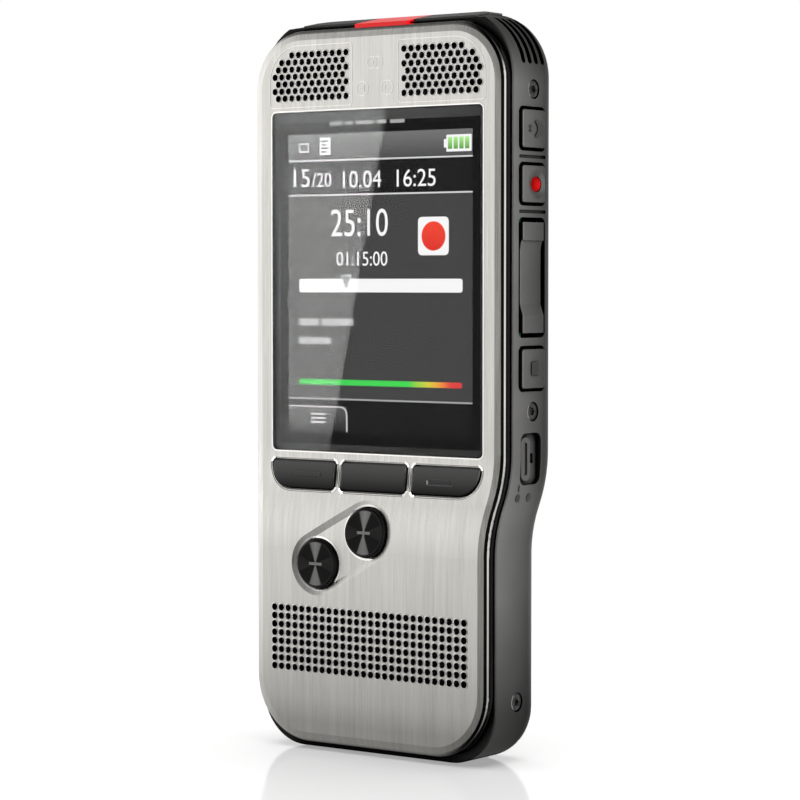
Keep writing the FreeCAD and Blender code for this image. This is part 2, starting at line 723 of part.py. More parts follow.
def rear_shell():
    tools = [well(z) for z in WELL_Z.values()] + [well(ROCKER_Z)]
    side = (SHELL_HALF - 0.35, LARGE)
    for z in SEPARATOR_Z:
        y = (y_at(BUTTON_DEPTH[0] + 0.1), y_at(BUTTON_DEPTH[1] + 0.2))
        tools.append(rounded_box(side, y, grown((z, z), 0.28), 0.27, X_AXIS))
    switch_end = SWITCH_START + 2 * KNOB_GAP + KNOB_WIDTH + SWITCH_TRAVEL
    y = (y_at(SWITCH_START), y_at(switch_end))
    tools.append(rounded_box((SHELL_HALF - SWITCH_SUNK, LARGE), y, SWITCH_Z, 1.4, X_AXIS))
    middle = sum(SWITCH_Z) / 2
    tools.append(deep_box((SHELL_HALF - 4, LARGE), (SWITCH_START + 1.1, switch_end - 0.9),
                          grown((middle, middle), 0.8)))
    tools += grip_grooves() + screw_holes(1) + screw_holes(-1)
    tools.append(top_insert_core(FIT))
    tools.append(light_slot(FIT))
    tools.append(foot_core(FIT))
    left_wall = (-LARGE, 4 - SHELL_HALF)
    tools.append(side_cylinder(SOCKET_COLLAR + FIT, y_at(SOCKET_DEPTH), SOCKET_Z, *left_wall))
    tools.append(deep_box(left_wall, grown(card_depth(), 0.25), grown(card_height(), 0.3)))
    tools.append(cover_prism(COVER_GAP, DEPTH - 3, DEPTH + 5))
    return cut_all(shell_outer().cut(shell_inner()), tools)


# ---- side controls -------------------------------------------------------------------------------
def side_cap(z):
    """A push button's cap, with a collar inside the wall and a stem towards its switch."""
    face = SHELL_HALF + SIDE_PROUD
    y = [y_at(BUTTON_DEPTH[0] + BUTTON_GAP), y_at(BUTTON_DEPTH[1] - BUTTON_GAP)]
    cap = rounded_box((SHELL_HALF - 2.6, face), y, grown(z, -BUTTON_GAP), 0.5, X_AXIS)
    outer = [edge for edge in cap.Edges if all(abs(v.X - face) < 0.01 for v in edge.Vertexes)]
    cap = cap.makeFillet(0.2, outer)
    collar = deep_box((SHELL_HALF - 2.6, SHELL_HALF - 2.0),
                      (BUTTON_DEPTH[0] + 0.2, BUTTON_DEPTH[1] + 0.3), grown(z, 0.3))
    middle = sum(z) / 2
    stem = side_cylinder(1.0, y_at(button_middle()), middle, SHELL_HALF - 2.9, SHELL_HALF - 2.5)
    return cap.fuse([collar, stem])


def button_middle():
    return sum(BUTTON_DEPTH) / 2


def dimple_ball():
    """Ball whose cap sinks a round dimple into the record button."""
    radius = (DIMPLE_RADIUS ** 2 + DIMPLE_DEPTH ** 2) / (2 * DIMPLE_DEPTH)
    x = SHELL_HALF + SIDE_PROUD - DIMPLE_DEPTH + radius
    y = y_at(button_middle() + DIMPLE_OFFSET)
    return Part.makeSphere(radius, V(x, y, sum(WELL_Z["record_button"]) / 2))


def dot_core(gap=0.0):
    x = SHELL_HALF + SIDE_PROUD
    y = y_at(button_middle() + DOT_OFFSET)
    z = sum(WELL_Z["record_button"]) / 2
    return side_cylinder(DOT_RADIUS + gap, y, z, x - 1.4 - gap, x + 0.3)


def record_button():
    return side_cap(WELL_Z["record_button"]).cut(dimple_ball()).cut(dot_core(0.01))


def record_dot():
    """Red plug with a low domed end, standing up from the dimple's floor."""
    radius = (DOT_RADIUS ** 2 + DOT_RISE ** 2) / (2 * DOT_RISE)
    x = SHELL_HALF + SIDE_PROUD - DIMPLE_DEPTH + DOT_RISE - radius
    y = y_at(button_middle() + DOT_OFFSET)
    dome = Part.makeSphere(radius, V(x, y, sum(WELL_Z["record_button"]) / 2))
    return dot_core().common(dome)


def search_rocker():
    """Long rocker with a scooped middle. It turns on a pin moulded across its back."""
    low, high = grown(ROCKER_Z, -ROCKER_GAP)
    middle = sum(ROCKER_Z) / 2
    face = SHELL_HALF + ROCKER_PROUD
    floor = face - ROCKER_SCOOP
    back = SHELL_HALF - 2.7
    y = y_at(BUTTON_DEPTH[0] + ROCKER_GAP)
    span = BUTTON_DEPTH[1] - BUTTON_DEPTH[0] - 2 * ROCKER_GAP

    def place(x, z):
        return V(x, y, z)
    top_step, low_step = high - 3.0, low + 2.9
    edges = [
        Part.makeLine(place(back, low), place(face, low)),
        Part.makeLine(place(face, low), place(face, low_step)),
        Part.makeLine(place(face, low_step), place(floor, low_step + 1.8)),
        Part.makeLine(place(floor, low_step + 1.8), place(floor, top_step - 2.4)),
        Part.Arc(place(floor, top_step - 2.4), place(floor + 0.08, top_step - 1.1),
                 place(floor + 0.34, top_step)).toShape(),
        Part.makeLine(place(floor + 0.34, top_step), place(face, top_step)),
        Part.makeLine(place(face, top_step), place(face, high)),
        Part.makeLine(place(face, high), place(back, high)),
        Part.makeLine(place(back, high), place(back, low)),
    ]
    body = make_face(edges).extrude(V(0, span, 0))
    corners = [edge for edge in body.Edges if edge.Curve.TypeId == "Part::GeomLine"
               and all(vertex.X > SHELL_HALF - 1 for vertex in edge.Vertexes)
               and abs(edge.tangentAt(edge.FirstParameter).y) < 0.01]
    body = body.makeFillet(0.16, corners)
    pin = Part.makeCylinder(ROCKER_PIN, span + 1.2, V(ROCKER_PIVOT_X, y - 0.6, middle), Y_AXIS)
    return body.fuse(pin)


def rocker_bracket():
    """Saddle on the side board. Its two ears hold the rocker's pin."""
    middle = sum(ROCKER_Z) / 2
    front = BUTTON_DEPTH[0] + 0.1
    back = BUTTON_DEPTH[1] - 0.1
    z = grown((middle, middle), 1.9)
    base = deep_box((SIDE_BOARD_X[1] + 0.02, SIDE_BOARD_X[1] + 0.6), (front, back), z)
    ears = [deep_box((SIDE_BOARD_X[1] + 0.02, ROCKER_PIVOT_X + 0.8), depth, z)
            for depth in ((front, front + 0.55), (back - 0.55, back))]
    bore = Part.makeCylinder(ROCKER_PIN + 0.05, 20, V(ROCKER_PIVOT_X, y_at(0), middle), Y_AXIS)
    return base.fuse(ears).cut(bore)


def side_board():
    return deep_box(SIDE_BOARD_X, SIDE_BOARD_DEPTH, SIDE_BOARD_Z)


def side_switches():
    """One small switch behind each push button and behind each end of the rocker."""
    heights = [sum(z) / 2 for z in WELL_Z.values()] + [ROCKER_Z[0] + 3.2, ROCKER_Z[1] - 3.2]
    start = SIDE_BOARD_X[1] + 0.02
    switches = []
    for z in heights:
        body = deep_box((start, start + 0.55), (button_middle() - 1.8, button_middle() + 1.8),
                        (z - 1.5, z + 1.5))
        plunger = side_cylinder(0.9, y_at(button_middle()), z, start + 0.5, start + 0.85)
        switches.append(body.fuse(plunger))
    return Part.makeCompound(switches)


def power_slider():
    """Slide switch: a ridged knob in its well and a stem through the wall."""
    surface = SHELL_HALF - SWITCH_SUNK
    start = SWITCH_START + KNOB_GAP
    y = (y_at(start), y_at(start + KNOB_WIDTH))
    z = grown(SWITCH_Z, -0.75)
    knob = rounded_box((surface + 0.06, SHELL_HALF - 0.25), y, z, 1.0, X_AXIS)
    groove_y = grown(y, -0.8)
    knob = knob.cut(rounded_box((SHELL_HALF - 0.65, LARGE), groove_y, grown(z, -0.8), 0.45, X_AXIS))
    middle = sum(SWITCH_Z) / 2
    stem_y = grown((y_at(start + KNOB_WIDTH / 2),) * 2, 0.5)
    return knob.fuse(box((SHELL_HALF - 3.2, surface + 0.2), stem_y, grown((middle, middle), 0.6)))


def switch_body():
    x = (SHELL_HALF - 5.4, SHELL_HALF - 3.4)
    return deep_box(x, (SWITCH_START + 0.6, SWITCH_START + 5.7), grown(SWITCH_Z, -0.5))


def side_screws(sign):
    screws = []
    for depth, z in SIDE_SCREWS:
        surface = SHELL_HALF - waist_shift(z, NARROWING) - SCREW_SUNK
        y = y_at(depth)
        head = side_cylinder(SCREW_HEAD, y, z, surface - 0.75, surface)
        rim = [edge for edge in head.Edges if all(v.X > surface - 0.01 for v in edge.Vertexes)
               and edge.Curve.TypeId == "Part::GeomCircle"]
        head = head.makeFillet(0.2, rim)
        points = []
        for k in range(7):
            turn = k * math.pi / 3
            points.append(V(surface - 0.5, y + 0.7 * math.cos(turn), z + 0.7 * math.sin(turn)))
        recess = Part.Face(Part.makePolygon(points)).extrude(V(1, 0, 0))
        screw = head.fuse(side_cylinder(SCREW_SHANK, y, z, surface - 4.2, surface - 0.7)).cut(recess)
        screws.append(screw if sign > 0 else mirrored(screw))
    return Part.makeCompound(screws)


# ---- top and bottom end inserts ------------------------------------------------------------------
def end_form(proud, end_z):
    """The casing's outline made this much larger, kept above or below a height."""
    radii = [radius + proud for radius in SHELL_RADII]
    form = outline_prism(SHELL_HALF + proud, SHELL_TOP + proud, SHELL_BOTTOM - proud, radii)
    return form.common(box(ANY, ANY, end_z))


def top_insert_core(gap=0.0):
    x = grown((-TOP_INSERT_HALF + 0.4, TOP_INSERT_HALF - 0.4), gap)
    return deep_box(x, grown(TOP_INSERT_DEPTH, gap), (120.7 - gap, HEIGHT + 3))


def light_slot(gap=0.0):
    x = grown((-LIGHT_HALF, LIGHT_HALF), gap)
    return deep_box(x, (LIGHT_START - gap, TOP_INSERT_DEPTH[1] - 1.6 + gap), (120.7 - gap, HEIGHT + 1))


def crowned_top(proud):
    return end_form(proud, (100, HEIGHT + 1)).cut(crown_cut(proud))


def top_insert():
    """Low ridge that follows the crowned top, with a core that sinks into the casing."""
    x = (-TOP_INSERT_HALF, TOP_INSERT_HALF)
    ridge = crowned_top(HEIGHT - SHELL_TOP).cut(crowned_top(0.02))
    ridge = ridge.common(deep_box(x, TOP_INSERT_DEPTH, (0, HEIGHT + 1)))
    core = top_insert_core().common(crowned_top(0.1))
    return ridge.fuse(core).removeSplitter().cut(light_slot(0.03))


def record_light():
    """Red light guide: a bar flush with the insert, reaching down to the light diode."""
    return light_slot().common(crowned_top(HEIGHT - SHELL_TOP))


def status_led():
    return deep_box((-1.6, 1.6), (BOARD_DEPTH[1] + 0.03, BOARD_DEPTH[1] + 1.3), (115.2, 117.2))


def foot_core(gap=0.0):
    x = grown((-FOOT_HALF, FOOT_HALF), gap)
    return deep_box(x, grown(FOOT_DEPTH, gap), (FOOT_BOTTOM - 10 * gap, 3.4 + gap))


def foot_pads(gap=0.0):
    depth = grown(FOOT_DEPTH, gap - 0.5)
    height = (-gap, PAD_TOP + gap)
    return Part.makeCompound([deep_box(grown(x, gap), depth, height) for x in PAD_SPANS])


def foot():
    """End piece with the USB mouth and the charging contacts."""
    usb = deep_box(grown(usb_width(), 0.05), grown(USB_DEPTH, 0.05), (-1, 5))
    contacts = deep_box(grown(contact_row(), 0.8), (6.0, 8.2), (-1, 0.9))
    return cut_all(foot_core(), [usb, contacts, foot_pads(0.01)])


def usb_width():
    return USB_X - USB_HALF, USB_X + USB_HALF


def usb_socket():
    """Metal mouth with the contact tongue standing in it."""
    z = (0.35, 7.0)
    outer = rounded(deep_box(usb_width(), USB_DEPTH, z), 0.6, Z_AXIS)
    inner = deep_box(grown(usb_width(), -USB_WALL), grown(USB_DEPTH, -USB_WALL), (-1, z[1] - 0.8))
    tongue = deep_box((USB_X - 2.4, USB_X + 2.4), (6.6, 7.1), (1.0, z[1] - 0.7))
    return outer.cut(inner).fuse(tongue)


def contact_row():
    half = CONTACT_PITCH * (CONTACT_COUNT - 1) / 2
    return CONTACT_X - half, CONTACT_X + half


def dock_contacts():
    start = contact_row()[0]
    pads = []
    for index in range(CONTACT_COUNT):
        x = start + index * CONTACT_PITCH
        pads.append(deep_box((x - 0.35, x + 0.35), (6.2, 8.0), (0.4, 0.89)))
    return Part.makeCompound(pads)


# ---- battery -------------------------------------------------------------------------------------
def battery_cover():
    cover = cover_prism(0, DEPTH - COVER_THICK, DEPTH)
    grips = []
    for index in range(6):
        z = COVER_Z[1] - 6 - index * 1.6
        y = (y_at(DEPTH - 0.4), y_at(DEPTH + 1))
        grips.append(rounded_box((-8, 8), y, (z - 0.4, z + 0.4), 0.39, Y_AXIS))
    return cut_all(cover, grips)


def battery():
    depth = [y_at(value) for value in BATTERY_DEPTH]
    return rounded_box((-BATTERY_HALF, BATTERY_HALF), depth, BATTERY_Z, 1.2, Y_AXIS)


def battery_tray():
    x = grown((-BATTERY_HALF, BATTERY_HALF), BATTERY_GAP)
    z = grown(BATTERY_Z, BATTERY_GAP)
    floor = BATTERY_DEPTH[0] - 0.1
    outer = deep_box(grown(x, TRAY_WALL), (floor - TRAY_WALL, DEPTH - SHELL_WALL - 0.05),
                     grown(z, TRAY_WALL))
    return outer.cut(deep_box(x, (floor, DEPTH), z))


def battery_contacts():
    z = BATTERY_Z[0] - BATTERY_GAP + 0.03
    fingers = []
    for x in (-5.0, 0.0, 5.0):
        fingers.append(deep_box((x - 0.9, x + 0.9), (10.0, 12.8), (z, z + 0.3)))
    return Part.makeCompound(fingers)


# ---- board, card and socket ----------------------------------------------------------------------
def main_board():
    y = [y_at(value) for value in BOARD_DEPTH]
    return rounded_box((-BOARD_HALF, BOARD_HALF), y, BOARD_Z, 2.0, Y_AXIS)


def on_board(width, height, thick, x, z):
    start = BOARD_DEPTH[1] + 0.02
    return deep_box((x - width / 2, x + width / 2), (start, start + thick),
                    (z - height / 2, z + height / 2))


def processor_chip():
    return on_board(PROCESSOR_SIDE, PROCESSOR_SIDE, 1.2, *PROCESSOR_AT)


def memory_chips():
    return Part.makeCompound([on_board(10, 8, 1.0, x, MEMORY_Z) for x in MEMORY_X])


def card_depth():
    return CARD_START, CARD_START + CARD_SIZE[1]


def card_height():
    return CARD_Z, CARD_Z + CARD_SIZE[2]


def card_start_x():
    return -(SHELL_HALF - NARROWING) - CARD_PROUD


def memory_card():
    start = card_start_x()
    y = [y_at(value) for value in card_depth()]
    return rounded_box((start, start + CARD_SIZE[0]), y, card_height(), 0.8, Y_AXIS)


def card_socket():
    start = card_start_x() + 2.6
    end = card_start_x() + CARD_SIZE[0] + 0.9
    wall = 0.3
    depth = grown(card_depth(), 0.2)
    height = grown(card_height(), 0.25)
    outer = deep_box((start, end), grown(depth, wall), grown(height, wall))
    return outer.cut(deep_box((start - 5, end - wall), depth, height))


def headset_socket():
    y = y_at(SOCKET_DEPTH)
    mouth = -SHELL_HALF + 0.1
    inside = -(SHELL_HALF - SHELL_WALL) + 0.1
    depth = grown((SOCKET_DEPTH, SOCKET_DEPTH), 2.8)
    height = grown((SOCKET_Z, SOCKET_Z), 2.8)
    body = deep_box((inside, mouth + SOCKET_LENGTH + 0.8), depth, height)
    collar = side_cylinder(SOCKET_COLLAR, y, SOCKET_Z, mouth, inside + 0.1)
    return body.fuse(collar).cut(side_cylinder(SOCKET_BORE, y, SOCKET_Z, mouth - 1, mouth + SOCKET_LENGTH))


# ---- the list of pieces --------------------------------------------------------------------------
PARTS = {
    "front_plate": front_plate(),
    "display_window": display_window(),
    "display_panel": display_panel(),
    "display_backlight": display_backlight(),
    "display_tray": display_tray(),
    "display_flex": display_flex(),
    "middle_frame": middle_frame(),
    "plus_button": round_button(PLUS_AT),
    "minus_button": round_button(MINUS_AT),
    "key_mat": key_mat(),
    "key_domes": key_domes(),
    "speaker_mesh": speaker_mesh(),
    "speaker_basket": speaker_basket(),
    "speaker_cone": speaker_cone(),
    "speaker_magnet": speaker_magnet(),
    "rear_shell": rear_shell(),
    "insert_button": side_cap(WELL_Z["insert_button"]),
    "record_button": record_button(),
    "record_dot": record_dot(),
    "search_rocker": search_rocker(),
    "rocker_bracket": rocker_bracket(),
    "stop_button": side_cap(WELL_Z["stop_button"]),
    "side_board": side_board(),
    "side_switches": side_switches(),
    "power_slider": power_slider(),
    "switch_body": switch_body(),
    "side_screws_right": side_screws(1),
    "side_screws_left": side_screws(-1),
    "top_insert": top_insert(),
    "record_light": record_light(),
    "status_led": status_led(),
    "foot": foot(),
    "foot_pads": foot_pads(),
    "usb_socket": usb_socket(),
    "dock_contacts": dock_contacts(),
    "battery_cover": battery_cover(),
    "battery": battery(),
    "battery_tray": battery_tray(),
    "battery_contacts": battery_contacts(),
    "main_board": main_board(),
    "processor_chip": processor_chip(),
    "memory_chips": memory_chips(),
    "memory_card": memory_card(),
    "card_socket": card_socket(),
    "headset_socket": headset_socket(),
}
for index, key_name in enumerate(KEY_NAMES):
    PARTS[key_name] = function_key(index)
for sign, side_name in ((-1, "left"), (1, "right")):
    PARTS["mic_mesh_" + side_name] = mic_mesh(sign)
    PARTS["mic_capsule_" + side_name] = mic_capsule(sign)
    PARTS["mic_boot_" + side_name] = mic_boot(sign)

for name, shape in PARTS.items():
    shape.exportStep("parts/" + name + ".step")
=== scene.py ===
import math

import bmesh
import bpy
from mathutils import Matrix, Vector
from mathutils.bvhtree import BVHTree

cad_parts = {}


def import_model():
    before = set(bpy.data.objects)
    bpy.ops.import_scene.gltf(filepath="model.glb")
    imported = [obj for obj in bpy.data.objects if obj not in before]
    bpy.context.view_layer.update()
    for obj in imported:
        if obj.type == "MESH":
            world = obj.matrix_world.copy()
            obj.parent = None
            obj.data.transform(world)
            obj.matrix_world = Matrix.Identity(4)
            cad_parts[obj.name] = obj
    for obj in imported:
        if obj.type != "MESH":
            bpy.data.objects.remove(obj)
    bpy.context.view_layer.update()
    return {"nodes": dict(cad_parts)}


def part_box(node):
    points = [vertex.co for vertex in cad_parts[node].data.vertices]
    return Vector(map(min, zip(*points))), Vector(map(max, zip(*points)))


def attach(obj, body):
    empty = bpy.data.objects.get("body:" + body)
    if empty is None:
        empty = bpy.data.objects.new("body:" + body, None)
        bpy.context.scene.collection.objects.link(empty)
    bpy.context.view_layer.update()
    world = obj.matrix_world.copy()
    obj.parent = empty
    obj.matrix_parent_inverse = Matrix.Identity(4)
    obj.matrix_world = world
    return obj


# A pocket dictation recorder standing on its bottom end, front towards -Y, in metres.

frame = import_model()
NODES = frame["nodes"]
ROOT = "recorder"
MM = 0.001

# ---- places read from the frame --------------------------------------------------------------
plate_low, plate_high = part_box("front_plate")
window_low, window_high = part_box("display_window")
panel_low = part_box("display_panel")[0]
SIDE_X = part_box("rear_shell")[1].x                      # outermost point of the right-hand side
FACE_Y = window_low.y - 0.08 * MM                       # upper front face
SCREEN_Y = panel_low.y                                  # front of the display panel
SCREEN_HALF = 19.45 * MM
SCREEN_BOTTOM = panel_low.z + 1.85 * MM                 # lower edge of the lit area
SCREEN_TOP = SCREEN_BOTTOM + 50.6 * MM
INTO_FRONT = Vector((0, 1, 0))                          # the way one looks at the front
INTO_SIDE = Vector((-1, 0, 0))                          # and at the right-hand side


# ---- mesh helpers ----------------------------------------------------------------------------
def add_piece(name, mesh, material, body=ROOT):
    """Puts a mesh in the scene as a piece that rides on a body."""
    piece = bpy.data.objects.new(name, mesh)
    bpy.context.scene.collection.objects.link(piece)
    mesh.materials.clear()
    mesh.materials.append(material)
    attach(piece, body)


def finished(name, bm, material, body=ROOT, smooth=False):
    """Turns a bmesh into a piece that rides on a body."""
    bmesh.ops.recalc_face_normals(bm, faces=bm.faces)
    mesh = bpy.data.meshes.new(name)
    bm.to_mesh(mesh)
    bm.free()
    if smooth:
        mesh.shade_smooth()
    else:
        mesh.shade_flat()
    add_piece(name, mesh, material, body)


def front_point(y):
    """Maps (x, z) on a plane facing -Y."""
    return lambda x, z, out: Vector((x, y - out, z))


def side_point(x):
    """Maps (y, z) on a plane facing +X."""
    return lambda y, z, out: Vector((x + out, y, z))


def drape(node_name, direction, bm, out):
    """Moves the vertices of a flat mesh onto a node's surface, seen along a direction."""
    node = NODES[node_name]
    tree = BVHTree.FromPolygons(
        [node.matrix_world @ v.co for v in node.data.vertices],
        [list(face.vertices) for face in node.data.polygons],
    )
    for vert in bm.verts:
        start = vert.co - direction * 0.05
        hit = tree.ray_cast(start, direction)[0]
        if hit:
            vert.co = hit - direction * out


def thicken(bm, direction, thick):
    """Gives a flat mesh a thickness along a direction."""
    made = bmesh.ops.extrude_face_region(bm, geom=list(bm.faces))
    for item in made["geom"]:
        if isinstance(item, bmesh.types.BMVert):
            item.co += direction * thick


def add_prism(bm, outline, place, thick):
    """A flat piece of the given outline that stands thick proud of its plane."""
    low = [bm.verts.new(place(a, b, 0)) for a, b in outline]
    high = [bm.verts.new(place(a, b, thick)) for a, b in outline]
    bm.faces.new(low)
    bm.faces.new(high)
    for i in range(len(outline)):
        j = (i + 1) % len(outline)
        bm.faces.new((low[i], low[j], high[j], high[i]))


def arc(centre, radius, start, end, steps=8):
    """Points on an arc, angles in degrees, anticlockwise."""
    return [
        (
            centre[0] + radius * math.cos(math.radians(start + (end - start) * i / steps)),
            centre[1] + radius * math.sin(math.radians(start + (end - start) * i / steps)),
        )
        for i in range(steps + 1)
    ]


def rounded(left, right, bottom, top, radii):
    """A rectangle with rounded corners; radii are bottom left, bottom right, top right, top left."""
    if not hasattr(radii, "__len__"):
        radii = (radii,) * 4
    bl, br, tr, tl = [max(r, 1e-6) for r in radii]
    return (
        arc((left + bl, bottom + bl), bl, 180, 270)
        + arc((right - br, bottom + br), br, 270, 360)
        + arc((right - tr, top - tr), tr, 0, 90)
        + arc((left + tl, top - tl), tl, 90, 180)
    )


def circle(centre, radius, steps=32):
    return arc(centre, radius, 0, 360, steps)[:-1]


def strip(outer, inner, high, low=0.0):
    """The profile of a flat strip, for add_band."""
    return (outer, high), (inner, high), (inner, low), (outer, low)


def add_band(bm, outline, place, profile, closed=True):
    """Sweeps a profile of (outwards, height) pairs along an outline in its own plane."""
    count = len(outline)
    rows = []
    for i in range(count):
        before = Vector(outline[(i - 1) % count] if closed or i > 0 else outline[0])
        after = Vector(outline[(i + 1) % count] if closed or i < count - 1 else outline[-1])
        along = (after - before).normalized()
        outwards = Vector((along.y, -along.x))
        here = Vector(outline[i])
        row = []
        for distance, height in profile:
            spot = here + outwards * distance
            row.append(bm.verts.new(place(spot.x, spot.y, height)))
        rows.append(row)
    last = count if closed else count - 1
    width = len(profile)
    for i in range(last):
        a, b = rows[i], rows[(i + 1) % count]
        for k in range(width):
            bm.faces.new((a[k], a[(k + 1) % width], b[(k + 1) % width], b[k]))
    if not closed:
        bm.faces.new(rows[0])
        bm.faces.new(rows[-1])


# ---- materials -------------------------------------------------------------------------------
def new_material(name):
    material = bpy.data.materials.new(name)
    material.use_nodes = True
    return material, material.node_tree, material.node_tree.nodes["Principled BSDF"]


def set_inputs(shader, **values):
    for key, value in values.items():
        shader.inputs[key.replace("_", " ")].default_value = value


def coordinates(tree, kind="Object"):
    """X, Y and Z of the object's own coordinates, or of another kind."""
    place = tree.nodes.new("ShaderNodeTexCoord")
    split = tree.nodes.new("ShaderNodeSeparateXYZ")
    tree.links.new(place.outputs[kind], split.inputs["Vector"])
    return split.outputs


def noise(tree, scale, detail=3.0, rough=0.55, stretch=(1, 1, 1), offset=0.0):
    """Noise in the object's own coordinates."""
    place = tree.nodes.new("ShaderNodeTexCoord")
    mapping = tree.nodes.new("ShaderNodeMapping")
    mapping.inputs["Scale"].default_value = stretch
    mapping.inputs["Location"].default_value = (offset, offset, offset)
    texture = tree.nodes.new("ShaderNodeTexNoise")
    texture.inputs["Scale"].default_value = scale
    texture.inputs["Detail"].default_value = detail
    texture.inputs["Roughness"].default_value = rough
    tree.links.new(place.outputs["Object"], mapping.inputs["Vector"])
    tree.links.new(mapping.outputs["Vector"], texture.inputs["Vector"])
    return texture.outputs["Fac"]


def spread(tree, value, low, high, start=0.3, end=0.7):
    """Maps a value from start..end to low..high."""
    node = tree.nodes.new("ShaderNodeMapRange")
    node.inputs["From Min"].default_value = start
    node.inputs["From Max"].default_value = end
    node.inputs["To Min"].default_value = low
    node.inputs["To Max"].default_value = high
    tree.links.new(value, node.inputs["Value"])
    return node.outputs["Result"]


def grey(level):
    return (level, level, level)


def ramp_of(tree, value, stops):
    """Maps 0..1 to colours or grey levels, given as (position, colour or level)."""
    node = tree.nodes.new("ShaderNodeValToRGB")
    elements = node.color_ramp.elements
    while len(elements) < len(stops):
        elements.new(0.5)
    for element, (position, colour) in zip(elements, stops):
        element.position = position
        element.color = (*(grey(colour) if isinstance(colour, (int, float)) else colour), 1)
    tree.links.new(value, node.inputs["Fac"])
    return node.outputs["Color"]


def tint(tree, value, dark, light):
    """Maps 0..1 to a colour between dark and light."""
    return ramp_of(tree, value, ((0, dark), (1, light)))


def scaled(tree, colour, share):
    """A colour of which only a share is left."""
    node = tree.nodes.new("ShaderNodeVectorMath")
    node.operation = "SCALE"
    tree.links.new(colour, node.inputs[0])
    tree.links.new(share, node.inputs["Scale"])
    return node.outputs["Vector"]


def covered(tree, share, under, level):
    """A colour with a grey level laid over it."""
    node = tree.nodes.new("ShaderNodeMix")
    node.data_type = "RGBA"
    node.inputs["B"].default_value = (*grey(level), 1)
    tree.links.new(share, node.inputs["Factor"])
    tree.links.new(under, node.inputs["A"])
    return node.outputs["Result"]


BUMP_DEPTH = 0.02 * MM


def bump(tree, shader, height, strength):
    node = tree.nodes.new("ShaderNodeBump")
    node.inputs["Strength"].default_value = strength
    node.inputs["Distance"].default_value = BUMP_DEPTH
    tree.links.new(height, node.inputs["Height"])
    tree.links.new(node.outputs["Normal"], shader.inputs["Normal"])


def mixed(tree, a, b, share):
    """A weighted sum of two values."""
    node = tree.nodes.new("ShaderNodeMix")
    node.data_type = "FLOAT"
    node.inputs["Factor"].default_value = share
    tree.links.new(a, node.inputs["A"])
    tree.links.new(b, node.inputs["B"])
    return node.outputs["Result"]


def math_node(tree, operation, *values):
    node = tree.nodes.new("ShaderNodeMath")
    node.operation = operation
    for socket, value in zip(node.inputs, values):
        if isinstance(value, (int, float)):
            socket.default_value = value
        else:
            tree.links.new(value, socket)
    return node.outputs[0]


def product(tree, a, b):
    return math_node(tree, "MULTIPLY", a, b)


def within(tree, value, limit):
    """1 where a value is nearer to zero than the limit, else 0."""
    return math_node(tree, "LESS_THAN", math_node(tree, "ABSOLUTE", value), limit)


FINE_LINES = (7000, 2500, 110)      # brush lines per metre across, through and along
BROAD_LINES = (1400, 500, 45)
POLISHED = 0.09                     # roughness of the plate's rounded edge
FLAT = (0.90, 0.95)                 # a face turns from polished to brushed between these forward shares
RIM_SHADE = (0.0, 0.88, 0.1, 0.4)    # painted shade on the polished edge: colour lost, none to 88 %, as it turns to the right
INSIDE_HALF = 19 * MM               # everything nearer the middle than this is brushed,
INSIDE_MIDDLE = 62 * MM             # at heights within the reach of this one
INSIDE_REACH = 57 * MM
LOW_END_HEIGHT = 60 * MM
# painted shade: share of the steel's colour left towards the bottom end, as (height / LOW_END_HEIGHT, share)
LOW_END_SHADE = ((0.03, 0.45), (0.08, 0.45), (0.15, 0.64), (0.30, 0.82), (0.50, 0.94), (0.70, 1.0))


def brushed_metal(name, dark, light, rough=(0.26, 0.38), anisotropy=0.7):
    """Steel with fine vertical brush lines, polished on the plate's rounded edge, with painted shade towards
    the bottom end and on the edge that turns to the right.
    """
    material, tree, shader = new_material(name)
    set_inputs(shader, Metallic=1.0)
    fine = noise(tree, 1.0, 2.0, 0.6, stretch=FINE_LINES)
    broad = noise(tree, 1.0, 3.0, 0.6, stretch=BROAD_LINES, offset=3.0)
    lines = mixed(tree, fine, broad, 0.45)
    colour = tint(tree, spread(tree, lines, 0, 1), dark, light)
    place, facing = coordinates(tree), coordinates(tree, "Normal")
    inside = product(tree, within(tree, place["X"], INSIDE_HALF),
                     math_node(tree, "COMPARE", place["Z"], INSIDE_MIDDLE, INSIDE_REACH))
    flat = spread(tree, math_node(tree, "ABSOLUTE", facing["Y"]), 0, 1, *FLAT)
    flat = math_node(tree, "MAXIMUM", flat, inside)
    # painted shade: the polished edge darkens as it turns to the right, and the steel darkens towards the
    # bottom end
    rim_shade = product(tree, math_node(tree, "SUBTRACT", 1.0, flat), spread(tree, facing["X"], *RIM_SHADE))
    painted_low_shade = ramp_of(tree, spread(tree, place["Z"], 0, 1, 0, LOW_END_HEIGHT), LOW_END_SHADE)
    share = product(tree, painted_low_shade, math_node(tree, "SUBTRACT", 1.0, rim_shade))
    tree.links.new(scaled(tree, colour, share), shader.inputs["Base Color"])
    brushed = spread(tree, fine, rough[0] - POLISHED, rough[1] - POLISHED)
    tree.links.new(math_node(tree, "ADD", product(tree, brushed, flat), POLISHED), shader.inputs["Roughness"])
    tree.links.new(product(tree, flat, anisotropy), shader.inputs["Anisotropic"])
    tangent = tree.nodes.new("ShaderNodeTangent")
    tangent.direction_type = "RADIAL"
    tangent.axis = "Z"
    tree.links.new(tangent.outputs["Tangent"], shader.inputs["Tangent"])
    bump(tree, shader, lines, 0.12)
    return material


CASING_REACH = 9 * MM               # front and back of the casing, from the middle
CASING_HEIGHT = 125 * MM
WELL_REACH = 1.6 * MM               # how near a wall must stand for the painted shade in the wells
# painted shade: share of the casing's colour left, from its front to its back and from its foot to its top
CASING_DEPTH_SHADE = ((0.2, 0.98), (0.50, 0.66), (0.75, 0.34), (0.89, 0.05), (1.0, 0.04))
CASING_ENDS_SHADE = ((0.0, 0.10), (0.07, 0.24), (0.22, 0.95), (0.90, 1.0), (0.955, 0.45), (0.985, 0.18))


